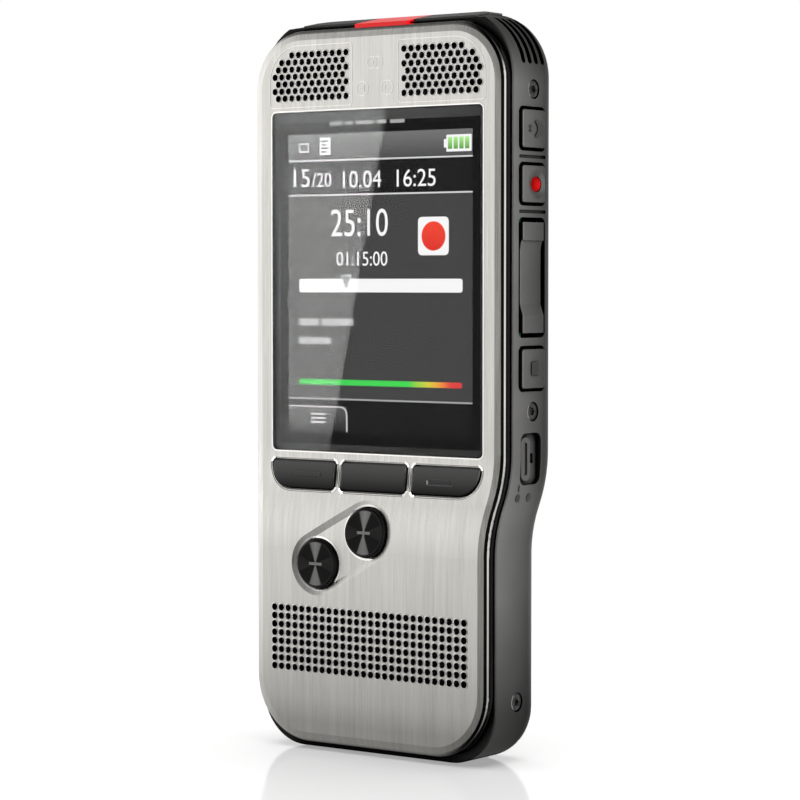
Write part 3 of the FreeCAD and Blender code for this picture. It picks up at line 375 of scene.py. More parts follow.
def painted_casing_shade(tree):
    """Painted shade on the casing colour: darker towards the back edge, the top and the bottom end, and in
    the wells.
    """
    place, facing = coordinates(tree), coordinates(tree, "Normal")
    depth = spread(tree, place["Y"], 0, 1, -CASING_REACH, CASING_REACH)
    share = product(tree, 1.25, ramp_of(tree, depth, CASING_DEPTH_SHADE))
    # painted shade: the back itself is lighter than the edge that leads to it
    share = math_node(tree, "MAXIMUM", share, spread(tree, facing["Y"], 0.0, 0.5, 0.75, 0.98))
    # painted shade in the wells, from ambient occlusion
    well_shade = tree.nodes.new("ShaderNodeAmbientOcclusion")
    well_shade.samples = 6
    well_shade.inputs["Distance"].default_value = WELL_REACH
    share = product(tree, share, spread(tree, well_shade.outputs["AO"], 0.03, 1.0, 0.55, 0.97))
    along = spread(tree, place["Z"], 0, 1, 0.0, CASING_HEIGHT)
    return product(tree, share, ramp_of(tree, along, CASING_ENDS_SHADE))


UNEVEN = 0.12                       # how far a plastic's shade and roughness vary


def plastic(name, colour, rough=0.4, grain=0.10, grain_size=0.12, specular=0.5, casing=False):
    """Moulded plastic with a fine spark-eroded grain; grain_size is in millimetres."""
    material, tree, shader = new_material(name)
    set_inputs(shader, Specular_IOR_Level=specular)
    cloud = noise(tree, 60, 2.0)
    grains = noise(tree, 1000 / grain_size, 2.0, 0.6)
    light = tuple(min(1, c * (1 + UNEVEN) + 0.002) for c in colour)
    dark = tuple(c * (1 - UNEVEN) for c in colour)
    shade = tint(tree, spread(tree, cloud, 0, 1), dark, light)
    # painted shade on the casing and its buttons, also taken off their specular level
    if casing:
        share = painted_casing_shade(tree)
        shade = scaled(tree, shade, share)
        tree.links.new(product(tree, share, specular), shader.inputs["Specular IOR Level"])
    tree.links.new(shade, shader.inputs["Base Color"])
    roughness = spread(tree, cloud, rough * (1 - UNEVEN), rough * (1 + UNEVEN))
    tree.links.new(roughness, shader.inputs["Roughness"])
    bump(tree, shader, grains, grain)
    return material


def lit_plastic(name, colour):
    """Clear coloured plastic with a lamp behind it."""
    material = plastic(name, colour, 0.3, 0.02, specular=0.3)
    shader = material.node_tree.nodes["Principled BSDF"]
    set_inputs(shader, Emission_Color=(*colour, 1), Emission_Strength=0.75)
    return material


def shaded_key_plastic(name, low, high):
    """Dark plastic with painted shade: lighter and glossier towards the top of the keys, darker towards their
    foot.
    """
    material, tree, shader = new_material(name)
    # painted shade: lighter and glossier towards the top of the keys
    share = spread(tree, coordinates(tree)["Z"], 0, 1, low, high)
    tree.links.new(tint(tree, share, grey(0.001), (0.11, 0.11, 0.111)), shader.inputs["Base Color"])
    tree.links.new(spread(tree, share, 0.04, 0.5, 0.0, 1.0), shader.inputs["Specular IOR Level"])
    grains = noise(tree, 9000, 2.0, 0.6)
    tree.links.new(spread(tree, grains, 0.27, 0.36), shader.inputs["Roughness"])
    bump(tree, shader, grains, 0.06)
    return material


def metal(name, dark, light, rough=0.3, size=0.5):
    """Plain metal with patches of the given size in millimetres."""
    material, tree, shader = new_material(name)
    set_inputs(shader, Metallic=1.0)
    patches = noise(tree, 1000 / size, 3.0)
    tree.links.new(tint(tree, spread(tree, patches, 0, 1), dark, light), shader.inputs["Base Color"])
    tree.links.new(spread(tree, patches, rough * 0.8, rough * 1.2), shader.inputs["Roughness"])
    bump(tree, shader, patches, 0.1)
    return material


def glow(name, colour, strength=1.0):
    """A lit part of the display."""
    material, _, shader = new_material(name)
    set_inputs(shader, Base_Color=(0, 0, 0, 1), Roughness=0.6, Specular_IOR_Level=0.0,
               Emission_Color=(*colour, 1), Emission_Strength=strength)
    return material


def glow_ramp(name, axis, low, high, stops):
    """A lit part of the display whose colour changes along an axis."""
    material = glow(name, grey(0))
    tree = material.node_tree
    share = spread(tree, coordinates(tree)[axis], 0, 1, low, high)
    tree.links.new(ramp_of(tree, share, stops), tree.nodes["Principled BSDF"].inputs["Emission Color"])
    return material


def glass():
    """Coated display window."""
    material, _, shader = new_material("window_glass")
    set_inputs(shader, Base_Color=(1, 1, 1, 1), Roughness=0.0, IOR=1.11, Transmission_Weight=1.0)
    return material


# painted sheen of a round button: grey levels as (share of a turn from the bottom, level)
PAINTED_SHEEN = (
    (0.0, 0.20), (0.05, 0.16), (0.062, 0.006), (0.185, 0.004), (0.19, 0.018), (0.30, 0.012),
    (0.31, 0.004), (0.44, 0.006), (0.455, 0.15), (0.5, 0.22), (0.55, 0.15), (0.562, 0.006),
    (0.685, 0.004), (0.69, 0.018), (0.80, 0.012), (0.81, 0.004), (0.94, 0.006), (0.955, 0.16), (1.0, 0.20),
)
SPUN_RADIUS = 3.7 * MM              # the turned face inside the button's dark edge
SIGN_ACROSS = (1.35 * MM, 0.24 * MM)    # half length and half width of the sign's bars
SIGN_UPRIGHT = (1.6 * MM, 0.2 * MM)


def spun_metal(name, centre, upright):
    """Dark turned metal with a painted sheen in wedges round the Y axis, with a raised minus, or a plus if
    upright.
    """
    material, tree, shader = new_material(name)
    set_inputs(shader, Metallic=0.6, Specular_IOR_Level=0.15)
    place = coordinates(tree)
    across = math_node(tree, "SUBTRACT", place["X"], centre[0])
    up = math_node(tree, "SUBTRACT", place["Z"], centre[1])
    turn = spread(tree, math_node(tree, "ARCTAN2", across, up), 0, 1, -math.pi, math.pi)
    # painted sheen in wedges round the button's centre
    painted_sheen = ramp_of(tree, turn, PAINTED_SHEEN)
    squares = math_node(tree, "ADD", product(tree, across, across), product(tree, up, up))
    far = math_node(tree, "SQRT", squares)
    edge = math_node(tree, "GREATER_THAN", far, SPUN_RADIUS)
    sign = product(tree, within(tree, across, SIGN_ACROSS[0]), within(tree, up, SIGN_ACROSS[1]))
    if upright:
        other = product(tree, within(tree, up, SIGN_UPRIGHT[0]), within(tree, across, SIGN_UPRIGHT[1]))
        sign = math_node(tree, "MAXIMUM", sign, other)
    marked = covered(tree, sign, painted_sheen, 0.20)
    tree.links.new(covered(tree, edge, marked, 0.02), shader.inputs["Base Color"])
    rings = tree.nodes.new("ShaderNodeTexNoise")
    rings.noise_dimensions = "1D"
    rings.inputs["Scale"].default_value = 9000
    tree.links.new(far, rings.inputs["W"])
    tree.links.new(spread(tree, rings.outputs["Fac"], 0.30, 0.42), shader.inputs["Roughness"])
    bump(tree, shader, math_node(tree, "ADD", rings.outputs["Fac"], product(tree, sign, 4.0)), 0.2)
    return material


def middle_of(node_name):
    low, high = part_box(node_name)
    return (low.x + high.x) / 2, (low.z + high.z) / 2


FINISHES = {
    "brushed_steel": brushed_metal("brushed_steel", (0.51, 0.505, 0.483), (0.75, 0.742, 0.718)),
    "window_glass": glass(),
    "display": glow("display", (0.0045, 0.0045, 0.0047)),
    "diffuser": plastic("diffuser", (0.75, 0.75, 0.75), 0.5),
    "sheet_metal": metal("sheet_metal", (0.42, 0.42, 0.41), (0.55, 0.55, 0.54), 0.35),
    "flex": plastic("flex", (0.55, 0.25, 0.06), 0.3),
    "black_plastic": plastic("black_plastic", (0.003, 0.003, 0.003), 0.5, specular=0.15),
    "key_black": shaded_key_plastic("key_black", *[corner.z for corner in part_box("function_key_middle")]),
    "button_black": spun_metal("button_black", middle_of("minus_button"), False),
    "rubber": plastic("rubber", (0.02, 0.02, 0.02), 0.7),
    "dome_steel": metal("dome_steel", (0.6, 0.6, 0.58), (0.72, 0.72, 0.7), 0.25),
    "mesh_cloth": plastic("mesh_cloth", (0.004, 0.004, 0.004), 0.8, 0.3, 0.25),
    "cone_paper": plastic("cone_paper", (0.03, 0.03, 0.03), 0.7, 0.3, 0.4),
    "magnet": metal("magnet", (0.3, 0.3, 0.3), (0.4, 0.4, 0.4), 0.4),
    "capsule": metal("capsule", (0.6, 0.6, 0.6), (0.7, 0.7, 0.7), 0.35),
    "shell_grey": plastic("shell_grey", (0.080, 0.080, 0.0805), 0.42, 0.12, 0.10, casing=True),
    "button_grey": plastic("button_grey", (0.078, 0.078, 0.0785), 0.40, 0.10, 0.10, casing=True),
    "red_mark": plastic("red_mark", (0.33, 0.0, 0.0), 0.6, 0.03, specular=0.04),
    "red_light": lit_plastic("red_light", (0.62, 0.006, 0.008)),
    "led": glow("led", (1.0, 0.05, 0.05), 0.4),
    "circuit_board": plastic("circuit_board", (0.01, 0.10, 0.03), 0.35),
    "chip": plastic("chip", (0.015, 0.015, 0.015), 0.5),
    "switch_plastic": plastic("switch_plastic", (0.07, 0.07, 0.07), 0.35, 0.08),
    "screw": metal("screw", (0.10, 0.10, 0.10), (0.17, 0.17, 0.17), 0.35),
    "insert_grey": plastic("insert_grey", (0.06, 0.06, 0.06), 0.4, 0.08, specular=0.3),
    "socket_metal": metal("socket_metal", (0.5, 0.5, 0.5), (0.65, 0.65, 0.65), 0.25),
    "gold": metal("gold", (0.80, 0.55, 0.20), (0.95, 0.70, 0.30), 0.22),
    "battery_label": plastic("battery_label", (0.10, 0.12, 0.16), 0.35),
    "card_plastic": plastic("card_plastic", (0.01, 0.01, 0.012), 0.4),
}

for node in NODES.values():
    for slot in node.material_slots:
        slot.material = FINISHES[slot.material.name.split(".")[0]]
for slot in NODES["plus_button"].material_slots:
    slot.material = spun_metal("button_black_plus", middle_of("plus_button"), True)


# ---- what the display shows ------------------------------------------------------------------
LAYER = 0.03 * MM           # from one layer of the display to the next
LAYER_THICK = LAYER * 0.8


def screen(name, outlines, material, layer=1):
    """Flat shapes on the display, one layer in front of another."""
    bm = bmesh.new()
    place = front_point(SCREEN_Y - (layer - 1) * LAYER)
    for outline in outlines:
        add_prism(bm, outline, place, LAYER_THICK)
    finished(name, bm, material)


def screen_box(left, right, low, high, radius=0.0):
    """A rounded box on the display: millimetres across, and up from the lit area's lower edge."""
    return rounded(left * MM, right * MM, SCREEN_BOTTOM + low * MM, SCREEN_BOTTOM + high * MM, radius * MM)


def numerals(name, words, left, right, low, high, material):
    """Numerals fitted into a box on the display, as a mesh in its second layer."""
    curve = bpy.data.curves.new(name, "FONT")
    curve.body = words
    curve.extrude = 0.01
    helper = bpy.data.objects.new(name + "_curve", curve)
    bpy.context.scene.collection.objects.link(helper)
    bpy.context.view_layer.update()
    mesh = bpy.data.meshes.new_from_object(helper)
    bpy.data.objects.remove(helper)
    xs = [v.co.x for v in mesh.vertices]
    ys = [v.co.y for v in mesh.vertices]
    start_x, start_y = min(xs), min(ys)
    across = (right - left) * MM / (max(xs) - start_x)
    up = (high - low) * MM / (max(ys) - start_y)
    for v in mesh.vertices:
        out = LAYER + (LAYER_THICK if v.co.z > 0 else 0.0)
        v.co = Vector((
            left * MM + (v.co.x - start_x) * across,
            SCREEN_Y - out,
            SCREEN_BOTTOM + low * MM + (v.co.y - start_y) * up,
        ))
    add_piece(name, mesh, material)


def build_screen():
    half = SCREEN_HALF / MM
    top = (SCREEN_TOP - SCREEN_BOTTOM) / MM
    white = glow("screen_white", grey(0.93), 1.0)
    pale = glow("screen_pale", grey(0.70))
    status = glow_ramp("screen_status", "Z", SCREEN_BOTTOM + 46.1 * MM, SCREEN_TOP,
                       ((0, grey(0.064)), (1, grey(0.17))))
    screen("screen_status_bar", [screen_box(-half, half, 46.1, top)], status)
    screen("screen_middle_field", [screen_box(-half, half, 5.35, 40.2)], glow("screen_middle", grey(0.0497)))
    screen("screen_rules", [screen_box(-half, half, z - 0.13, z + 0.13) for z in (46.1, 40.2)], pale, 2)
    lower_rule = glow("screen_rule_grey", grey(0.42))
    screen("screen_lower_rule", [screen_box(-half, half, 5.22, 5.48)], lower_rule, 2)
    # battery symbol with four green cells
    green = glow_ramp("screen_green", "Z", SCREEN_BOTTOM + 47.4 * MM, SCREEN_BOTTOM + 49.3 * MM,
                      ((0, (0.11, 0.35, 0.05)), (1, (0.45, 0.86, 0.30))))
    battery = [screen_box(14.0, 19.1, 46.9, 49.7, 0.15), screen_box(13.5, 14.0, 47.6, 49.0)]
    screen("screen_battery", battery, white, 2)
    screen("screen_battery_cells", [screen_box(x, x + 0.85, 47.35, 49.3) for x in (14.35, 15.5, 16.65, 17.8)],
           green, 3)
    # small outline symbol and document symbol
    symbol = bmesh.new()
    outline = screen_box(-17.2, -14.9, 47.5, 49.2, 0.4)
    add_band(symbol, outline, front_point(SCREEN_Y - LAYER), strip(0.0, -0.35 * MM, LAYER_THICK))
    finished("screen_outline_symbol", symbol, pale)
    screen("screen_document", [screen_box(-12.6, -10.3, 47.0, 50.0, 0.1)], white, 2)
    ends = ((-10.8, 49.2), (-11.3, 48.6), (-10.7, 48.0), (-11.2, 47.4))
    marks = [screen_box(-12.2, x, z, z + 0.3) for x, z in ends]
    screen("screen_document_marks", marks, glow("screen_dim", grey(0.16)), 3)
    # file number, date and time, running time, total time
    numerals("screen_number", "15", -18.3, -14.8, 41.6, 44.7, white)
    numerals("screen_count", "/20", -14.3, -10.1, 41.6, 44.0, white)
    numerals("screen_date", "10.04  16:25", -7.6, 11.8, 41.3, 44.2, white)
    numerals("screen_time", "25:10", -10.2, 1.9, 33.1, 37.7, white)
    numerals("screen_total", "01:15:00", -9.0, 1.8, 28.1, 30.5, white)
    # record symbol
    screen("screen_record_tile", [screen_box(8.2, 14.5, 29.8, 36.2, 0.8)], white, 2)
    screen("screen_record_disc", [circle((11.4 * MM, SCREEN_BOTTOM + 33.0 * MM), 2.45 * MM)],
           glow_ramp("screen_red", "Z", SCREEN_BOTTOM + 30.5 * MM, SCREEN_BOTTOM + 35.5 * MM,
                     ((0, (0.72, 0.03, 0.02)), (1, (0.90, 0.06, 0.03)))), 3)
    # progress bar with its marker
    screen("screen_progress", [screen_box(-17.1, 17.3, 23.6, 25.9, 0.45)], white, 2)
    tip = [(-8.2, 26.6), (-6.9, 24.0), (-5.6, 26.6)]
    tip = [(x * MM, SCREEN_BOTTOM + z * MM) for x, z in tip]
    screen("screen_marker_edge", [tip], glow("screen_mid", grey(0.5)), 3)
    inner = [(-7.8, 26.35), (-6.9, 24.6), (-6.0, 26.35)]
    inner = [(x * MM, SCREEN_BOTTOM + z * MM) for x, z in inner]
    screen("screen_marker", [inner], glow("screen_soft", grey(0.28)), 4)
    # two short lines of generic marks in place of names
    words = [screen_box(a, b, 17.9, 19.1, 0.2) for a, b in ((-17.1, -12.9), (-12.2, -5.4))]
    words += [screen_box(-17.1, -10.3, 14.7, 15.9, 0.2)]
    screen("screen_lines", words, glow("screen_line_mark", grey(0.45)), 2)
    # level bar
    stops = ((0, (0.05, 0.62, 0.10)), (0.68, (0.05, 0.66, 0.08)), (0.80, (0.66, 0.62, 0.05)),
             (0.87, (0.85, 0.30, 0.05)), (0.93, (0.75, 0.06, 0.05)), (1, (0.72, 0.05, 0.05)))
    level = glow_ramp("screen_level_colour", "X", -17.1 * MM, 17.2 * MM, stops)
    screen("screen_level", [screen_box(-17.1, 17.2, 7.75, 8.7, 0.3)], level, 2)
    # tab with a menu symbol
    tab = glow_ramp("screen_tab_fill", "Z", SCREEN_BOTTOM - 0.2 * MM, SCREEN_BOTTOM + 4.0 * MM,
                    ((0, grey(0.012)), (1, grey(0.10))))
    screen("screen_tab", [screen_box(-half, -6.9, -0.2, 4.0)], tab)
    edge = [screen_box(-half, -8.2, 3.9, 4.1), screen_box(-6.95, -6.7, -0.2, 2.8)]
    screen("screen_tab_edge", edge, pale, 2)
    bend = bmesh.new()
    path = [(x * MM, SCREEN_BOTTOM + z * MM) for x, z in arc((-8.2, 2.65), 1.35, 90, 0)]
    add_band(bend, path, front_point(SCREEN_Y - LAYER),
             strip(0.12 * MM, -0.12 * MM, LAYER_THICK), closed=False)
    finished("screen_tab_bend", bend, pale)
    screen("screen_menu_symbol", [screen_box(-14.6, -11.4, z, z + 0.34, 0.1) for z in (1.15, 1.85, 2.55)],
           glow("screen_menu", grey(0.6)), 2)


def border():
    """Black print round the lit area, behind the window."""
    bm = bmesh.new()
    wide, low, high = window_high.x - 0.02 * MM, window_low.z + 0.02 * MM, window_high.z - 0.02 * MM
    inner_half = SCREEN_HALF + 0.05 * MM
    inner_low, inner_high = SCREEN_BOTTOM - 0.5 * MM, SCREEN_TOP + 0.1 * MM
    place = front_point(FACE_Y + 0.98 * MM)
    for box in (
        (-wide, wide, inner_high, high), (-wide, wide, low, inner_low),
        (-wide, -inner_half, inner_low, inner_high), (inner_half, wide, inner_low, inner_high),
    ):
        add_prism(bm, rounded(*box, 0), place, 0.03 * MM)
    finished("screen_border", bm, FINISHES["display"])
    # a row of generic marks on the border stands where the heading is
    marks = bmesh.new()
    place = front_point(FACE_Y + 0.94 * MM)
    left = -10.2
    for width in (2.6, 1.4, 3.6, 2.0, 3.0):
        add_prism(marks, screen_box(left, left + width, 52.0, 52.9, 0.2), place, 0.02 * MM)
        left += width + 0.8
    finished("screen_heading", marks, glow("screen_head_mark", grey(0.42)))


def screen_cover():
    """Clear sheet over the lit area, behind the window."""
    bm = bmesh.new()
    outline = rounded(-SCREEN_HALF, SCREEN_HALF, SCREEN_BOTTOM - 0.45 * MM, SCREEN_TOP, 0)
    add_prism(bm, outline, front_point(FACE_Y + 1.1 * MM), 0.04 * MM)
    finished("screen_cover", bm, FINISHES["window_glass"])


build_screen()
border()
screen_cover()


# ---- bright lips of the openings -------------------------------------------------------------
LOOKS_OUT = 0.97                    # a face looks out of the plate from this share upwards,
TURNS_AWAY = 0.4                    # and is a wall up to this one


def sharp_loops(node_name, direction):
    """Groups of joined points along the sharp edges of a node's faces that look one way."""
    bm = bmesh.new()
    bm.from_mesh(NODES[node_name].data)
    bmesh.ops.remove_doubles(bm, verts=bm.verts, dist=0.002 * MM)
    joined = {}
    for edge in bm.edges:
        if len(edge.link_faces) != 2:
            continue
        a, b = [face.normal.dot(direction) for face in edge.link_faces]
        if (a > LOOKS_OUT) == (b > LOOKS_OUT) or min(a, b) > TURNS_AWAY:
            continue
        first, second = edge.verts
        joined.setdefault(first.index, set()).add(second.index)
        joined.setdefault(second.index, set()).add(first.index)
    bm.verts.ensure_lookup_table()
    seen, loops = set(), []
    for start in joined:
        if start in seen:
            continue
        group, waiting = [], [start]
        seen.add(start)
        while waiting:
            here = waiting.pop()
            group.append(bm.verts[here].co.copy())
            for other in joined[here]:
                if other not in seen:
                    seen.add(other)
                    waiting.append(other)
        loops.append(group)
    bm.free()
    return loops


HOLE_ACROSS = (0.7 * MM, 1.6 * MM)  # smallest and largest hole of a grille
LIP_PROFILE = ((-0.015 * MM, -0.05 * MM), (-0.01 * MM, 0.03 * MM), (0.06 * MM, 0.055 * MM),
               (0.15 * MM, 0.03 * MM), (0.18 * MM, -0.05 * MM))


def grille_lips():
    """A small rounded bead round each hole of the grilles."""
    bm = bmesh.new()
    for group in sharp_loops("front_plate", -INTO_FRONT):
        xs, zs = [p.x for p in group], [p.z for p in group]
        across, tall = max(xs) - min(xs), max(zs) - min(zs)
        if not HOLE_ACROSS[0] < across < HOLE_ACROSS[1] or abs(across - tall) > 0.2 * MM:
            continue
        centre = ((max(xs) + min(xs)) / 2, (max(zs) + min(zs)) / 2)
        add_band(bm, circle(centre, across / 2, 18), front_point(group[0].y), LIP_PROFILE)
    steel = brushed_metal("lip_steel", (0.80, 0.79, 0.77), (0.88, 0.87, 0.85), (0.16, 0.22), 0.0)
    finished("grille_lips", bm, steel, smooth=True)


grille_lips()


def flat_ring(pairs):
    """A flat ring in front of the plate, from pairs of points on its two edges."""
    ring = bmesh.new()
    place = front_point(plate_low.y - 1 * MM)
    rows = [[ring.verts.new(place(point.x, point.y, 0)) for point in pair] for pair in pairs]
    for a, b in zip(rows, rows[1:] + rows[:1]):
        ring.faces.new((a[0], a[1], b[1], b[0]))
    return ring, rows


def bead(bm, outline, width):
    """A narrow flat ring outside an outline, laid on the front plate."""
    pairs = []
    for i, point in enumerate(outline):
        along = (Vector(outline[(i + 1) % len(outline)]) - Vector(outline[i - 1])).normalized()
        here = Vector(point)
        pairs.append((here, here + Vector((along.y, -along.x)) * width))
    ring, rows = flat_ring(pairs)
    start_y = rows[0][0].co.y
    drape("front_plate", INTO_FRONT, ring, 0.045 * MM)
    for inner, outer in rows:
        if inner.co.y == start_y:       # it missed the plate, over an opening
            inner.co.y = outer.co.y
    thicken(ring, INTO_FRONT, 0.08 * MM)
    part = bpy.data.meshes.new("bead")
    ring.to_mesh(part)
    ring.free()
    bm.from_mesh(part)
    bpy.data.meshes.remove(part)


def box_outline(low, high, gap, radii):
    """The outline of a box seen from the front, grown by a gap."""
    return rounded(low.x - gap, high.x + gap, low.z - gap, high.z + gap, radii)


BUTTON_OPENING = 4.39 * MM          # radius of the round buttons' openings
KEY_FLANGE = 0.4 * MM               # how far a key reaches behind the plate
KEY_CORNER = 4.4 * MM               # lower outer corner of an outer key


def opening_beads():
    """Bright turned-over lips round the window, the keys and the round buttons."""
    bm = bmesh.new()
    bead(bm, box_outline(window_low, window_high, 0.05 * MM, 0.9 * MM), 0.22 * MM)
    for name, corner in (("left", 0), ("middle", None), ("right", 1)):
        low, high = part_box("function_key_" + name)
        radii = [0.7 * MM] * 4
        if corner is not None:
            radii[corner] = KEY_CORNER
        bead(bm, box_outline(low, high, -KEY_FLANGE, radii), 0.42 * MM)
    for name in ("plus_button", "minus_button"):
        bead(bm, circle(middle_of(name), BUTTON_OPENING, 56), 0.34 * MM)
    bright = brushed_metal("bead_steel", (0.93, 0.92, 0.90), (0.97, 0.96, 0.95), (0.20, 0.26), 0.0)
    finished("opening_beads", bm, bright)


def window_lining():
    """Black sides of the window's opening."""
    bm = bmesh.new()
    outline = box_outline(window_low, window_high, 0, 0.85 * MM)
    add_band(bm, outline, front_point(FACE_Y), strip(0.0, 0.055 * MM, 0.0, -0.9 * MM))
    finished("window_lining", bm, FINISHES["display"])


def plate_relief():
    """Fine raised outlines round the microphone grilles, and channel marks between them."""
    bm = bmesh.new()
    line = 0.10 * MM
    small, large = 0.6 * MM, 6.2 * MM
    top, low = plate_high.z - 2.6 * MM, plate_high.z - 13.0 * MM
    inner, outer = 4.9 * MM, 22.6 * MM
    bead(bm, rounded(inner, outer, low, top, (small, small, large, small)), line)
    bead(bm, rounded(-outer, -inner, low, top, (small, small, small, large)), line)
    for side in (-1, 1):
        x, z = side * 2.6 * MM, low + 2.6 * MM
        bead(bm, circle((x, z), 1.15 * MM, 28), line)
        base = x - side * 0.42 * MM
        tip = [(x + side * 0.62 * MM, z), (base, z + 0.55 * MM), (base, z - 0.55 * MM)]
        bead(bm, tip if side < 0 else tip[::-1], 0.09 * MM)
        bead(bm, circle((side * 0.62 * MM, low + 6.9 * MM), 0.95 * MM, 28), line)
    steel = brushed_metal("relief_steel", (0.80, 0.79, 0.77), (0.86, 0.85, 0.83), (0.2, 0.3), 0.0)
    finished("plate_relief", bm, steel)


# left, right, bottom and top of the bars on the outer keys, in millimetres; heights from the keys' foot
KEY_BARS = {"left": (-16.8, -11.2, 2.3, 3.15), "right": (11.3, 16.6, 1.75, 2.8)}
HIGHLIGHT_WIDTH = 0.16 * MM


def key_bar_highlights():
    """Painted highlight: light edges round the bars on the outer keys."""
    # painted highlight along the bars' edges
    pale = plastic("bar_painted_highlight", grey(0.22), 0.35, 0.03)
    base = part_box("function_key_middle")[0].z + KEY_FLANGE
    for side, (left, right, low, high) in KEY_BARS.items():
        middle = Vector(((left + right) / 2 * MM, base + (low + high) / 2 * MM))
        pairs = []
        for point in rounded(left * MM, right * MM, base + low * MM, base + high * MM, 0.25 * MM):
            here = Vector(point)
            inward = Vector((math.copysign(1, middle.x - here.x), math.copysign(1, middle.y - here.y)))
            pairs.append((here, here + inward * HIGHLIGHT_WIDTH))
        ring, _ = flat_ring(pairs)
        drape("function_key_" + side, INTO_FRONT, ring, 0.03 * MM)
        thicken(ring, INTO_FRONT, 0.05 * MM)
        finished("key_bar_frame_" + side, ring, pale, "function_key_" + side)


opening_beads()
window_lining()
plate_relief()
key_bar_highlights()


# ---- marks on the sides ----------------------------------------------------------------------
def side_mark(name, node_name, outlines, material, body, out):
    """Flat shapes laid on a piece of the right-hand side, standing out in millimetres."""
    bm = bmesh.new()
    for outline in outlines:
        add_prism(bm, outline, side_point(SIDE_X + 1 * MM), 0.0)
    # the two faces of each prism lie on each other and become one
    bmesh.ops.remove_doubles(bm, verts=bm.verts, dist=0.001 * MM)
    bmesh.ops.triangulate(bm, faces=bm.faces)
    drape(node_name, INTO_SIDE, bm, out * MM)
    thicken(bm, INTO_SIDE, 0.06 * MM)
    finished(name, bm, material, body)


def side_marks():
    """Raised arrow, square and switch marks on the right-hand side."""
    relief = plastic("relief_grey", grey(0.035), 0.30, 0.03, 0.10)
    low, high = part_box("insert_button")
    y, z = (low.y + high.y) / 2 - 0.3 * MM, (low.z + high.z) / 2
    head = [
        (y + a * MM, z + b * MM)
        for a, b in ((0.1, 1.3), (0.9, 1.3), (2.6, 0.25), (2.6, -0.25),
                     (0.9, -1.3), (0.1, -1.3), (0.9, -0.35), (0.9, 0.35))
    ]
    dashes = [
        rounded(y - 1.5 * MM, y - 0.8 * MM, z + b * MM, z + (b + 0.28) * MM, 0.1 * MM)
        for b in (-0.45, 0.2)
    ]
    side_mark("insert_arrow", "insert_button", [head] + dashes, relief, "insert_button", 0.16)
    low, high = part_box("stop_button")
    y, z = (low.y + high.y) / 2, (low.z + high.z) / 2
    half = 1.1 * MM
    square = rounded(y - half, y + half, z - half, z + half, 0.25 * MM)
    side_mark("stop_square", "stop_button", [square], relief, "stop_button", 0.16)
    low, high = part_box("power_slider")
    z = low.z - 2.9 * MM
    for name, y in (("on", low.y - 0.4 * MM), ("off", high.y + 0.2 * MM)):
        ring = circle((y, z), 0.62 * MM, 24)
        side_mark("switch_ring_" + name, "rear_shell", [ring], relief, ROOT, 0.10)
    stroke = rounded(low.y - 0.55 * MM, low.y - 0.3 * MM, z + 1.1 * MM, z + 2.2 * MM, 0.1 * MM)
    side_mark("switch_stroke", "rear_shell", [stroke], relief, ROOT, 0.10)


side_marks()


# ---- surroundings ----------------------------------------------------------------------------
CAMERA_AT = (0.2866, -0.3870, 0.0803)
CAMERA_YAW = 36.5
CAMERA_PITCH = 2.41
LENS = 127.1


def place_camera():
    data = bpy.data.cameras.new("camera")
    data.lens = LENS
    data.sensor_width = 36
    data.clip_start = 0.01
    camera = bpy.data.objects.new("camera", data)
    camera.location = CAMERA_AT
    camera.rotation_euler = (math.radians(90 - CAMERA_PITCH), 0, math.radians(CAMERA_YAW))
    bpy.context.scene.collection.objects.link(camera)
    bpy.context.scene.camera = camera


def stage_mesh(name, bm, material):
    mesh = bpy.data.meshes.new(name)
    bm.to_mesh(mesh)
    bm.free()
    piece = bpy.data.objects.new(name, mesh)
    mesh.materials.append(material)
    bpy.context.scene.collection.objects.link(piece)
    return piece


FLOOR_HALF = 9.0
FLOOR_GREY = 0.088
FLOOR_SHINE = 0.20                  # share of the mirror image in it
FLOOR_FADE = (0.35, 1, 0.06, 0.40)  # from 35 % white to all white between these distances


def floor():
    """Pale floor that fades into the white background away from the recorder."""
    bm = bmesh.new()
    bmesh.ops.create_grid(bm, x_segments=8, y_segments=8, size=FLOOR_HALF)
    material = bpy.data.materials.new("floor")
    material.use_nodes = True
    tree = material.node_tree
    tree.nodes.clear()
    out = tree.nodes.new("ShaderNodeOutputMaterial")
    mix = tree.nodes.new("ShaderNodeMixShader")
    fade = tree.nodes.new("ShaderNodeMixShader")
    matt = tree.nodes.new("ShaderNodeBsdfDiffuse")
    gloss = tree.nodes.new("ShaderNodeBsdfGlossy")
    white = tree.nodes.new("ShaderNodeEmission")
    place = tree.nodes.new("ShaderNodeTexCoord")
    length = tree.nodes.new("ShaderNodeVectorMath")
    length.operation = "LENGTH"
    matt.inputs["Color"].default_value = (*grey(FLOOR_GREY), 1)
    gloss.inputs["Color"].default_value = (1, 1, 1, 1)
    gloss.inputs["Roughness"].default_value = 0.10
    mix.inputs[0].default_value = FLOOR_SHINE
    tree.links.new(matt.outputs[0], mix.inputs[1])
    tree.links.new(gloss.outputs[0], mix.inputs[2])
    tree.links.new(place.outputs["Object"], length.inputs[0])
    tree.links.new(spread(tree, length.outputs["Value"], *FLOOR_FADE), fade.inputs[0])
    tree.links.new(mix.outputs[0], fade.inputs[1])
    tree.links.new(white.outputs[0], fade.inputs[2])
    tree.links.new(fade.outputs[0], out.inputs["Surface"])
    piece = stage_mesh("floor", bm, material)
    piece.visible_glossy = False
    piece.visible_diffuse = False
    return piece


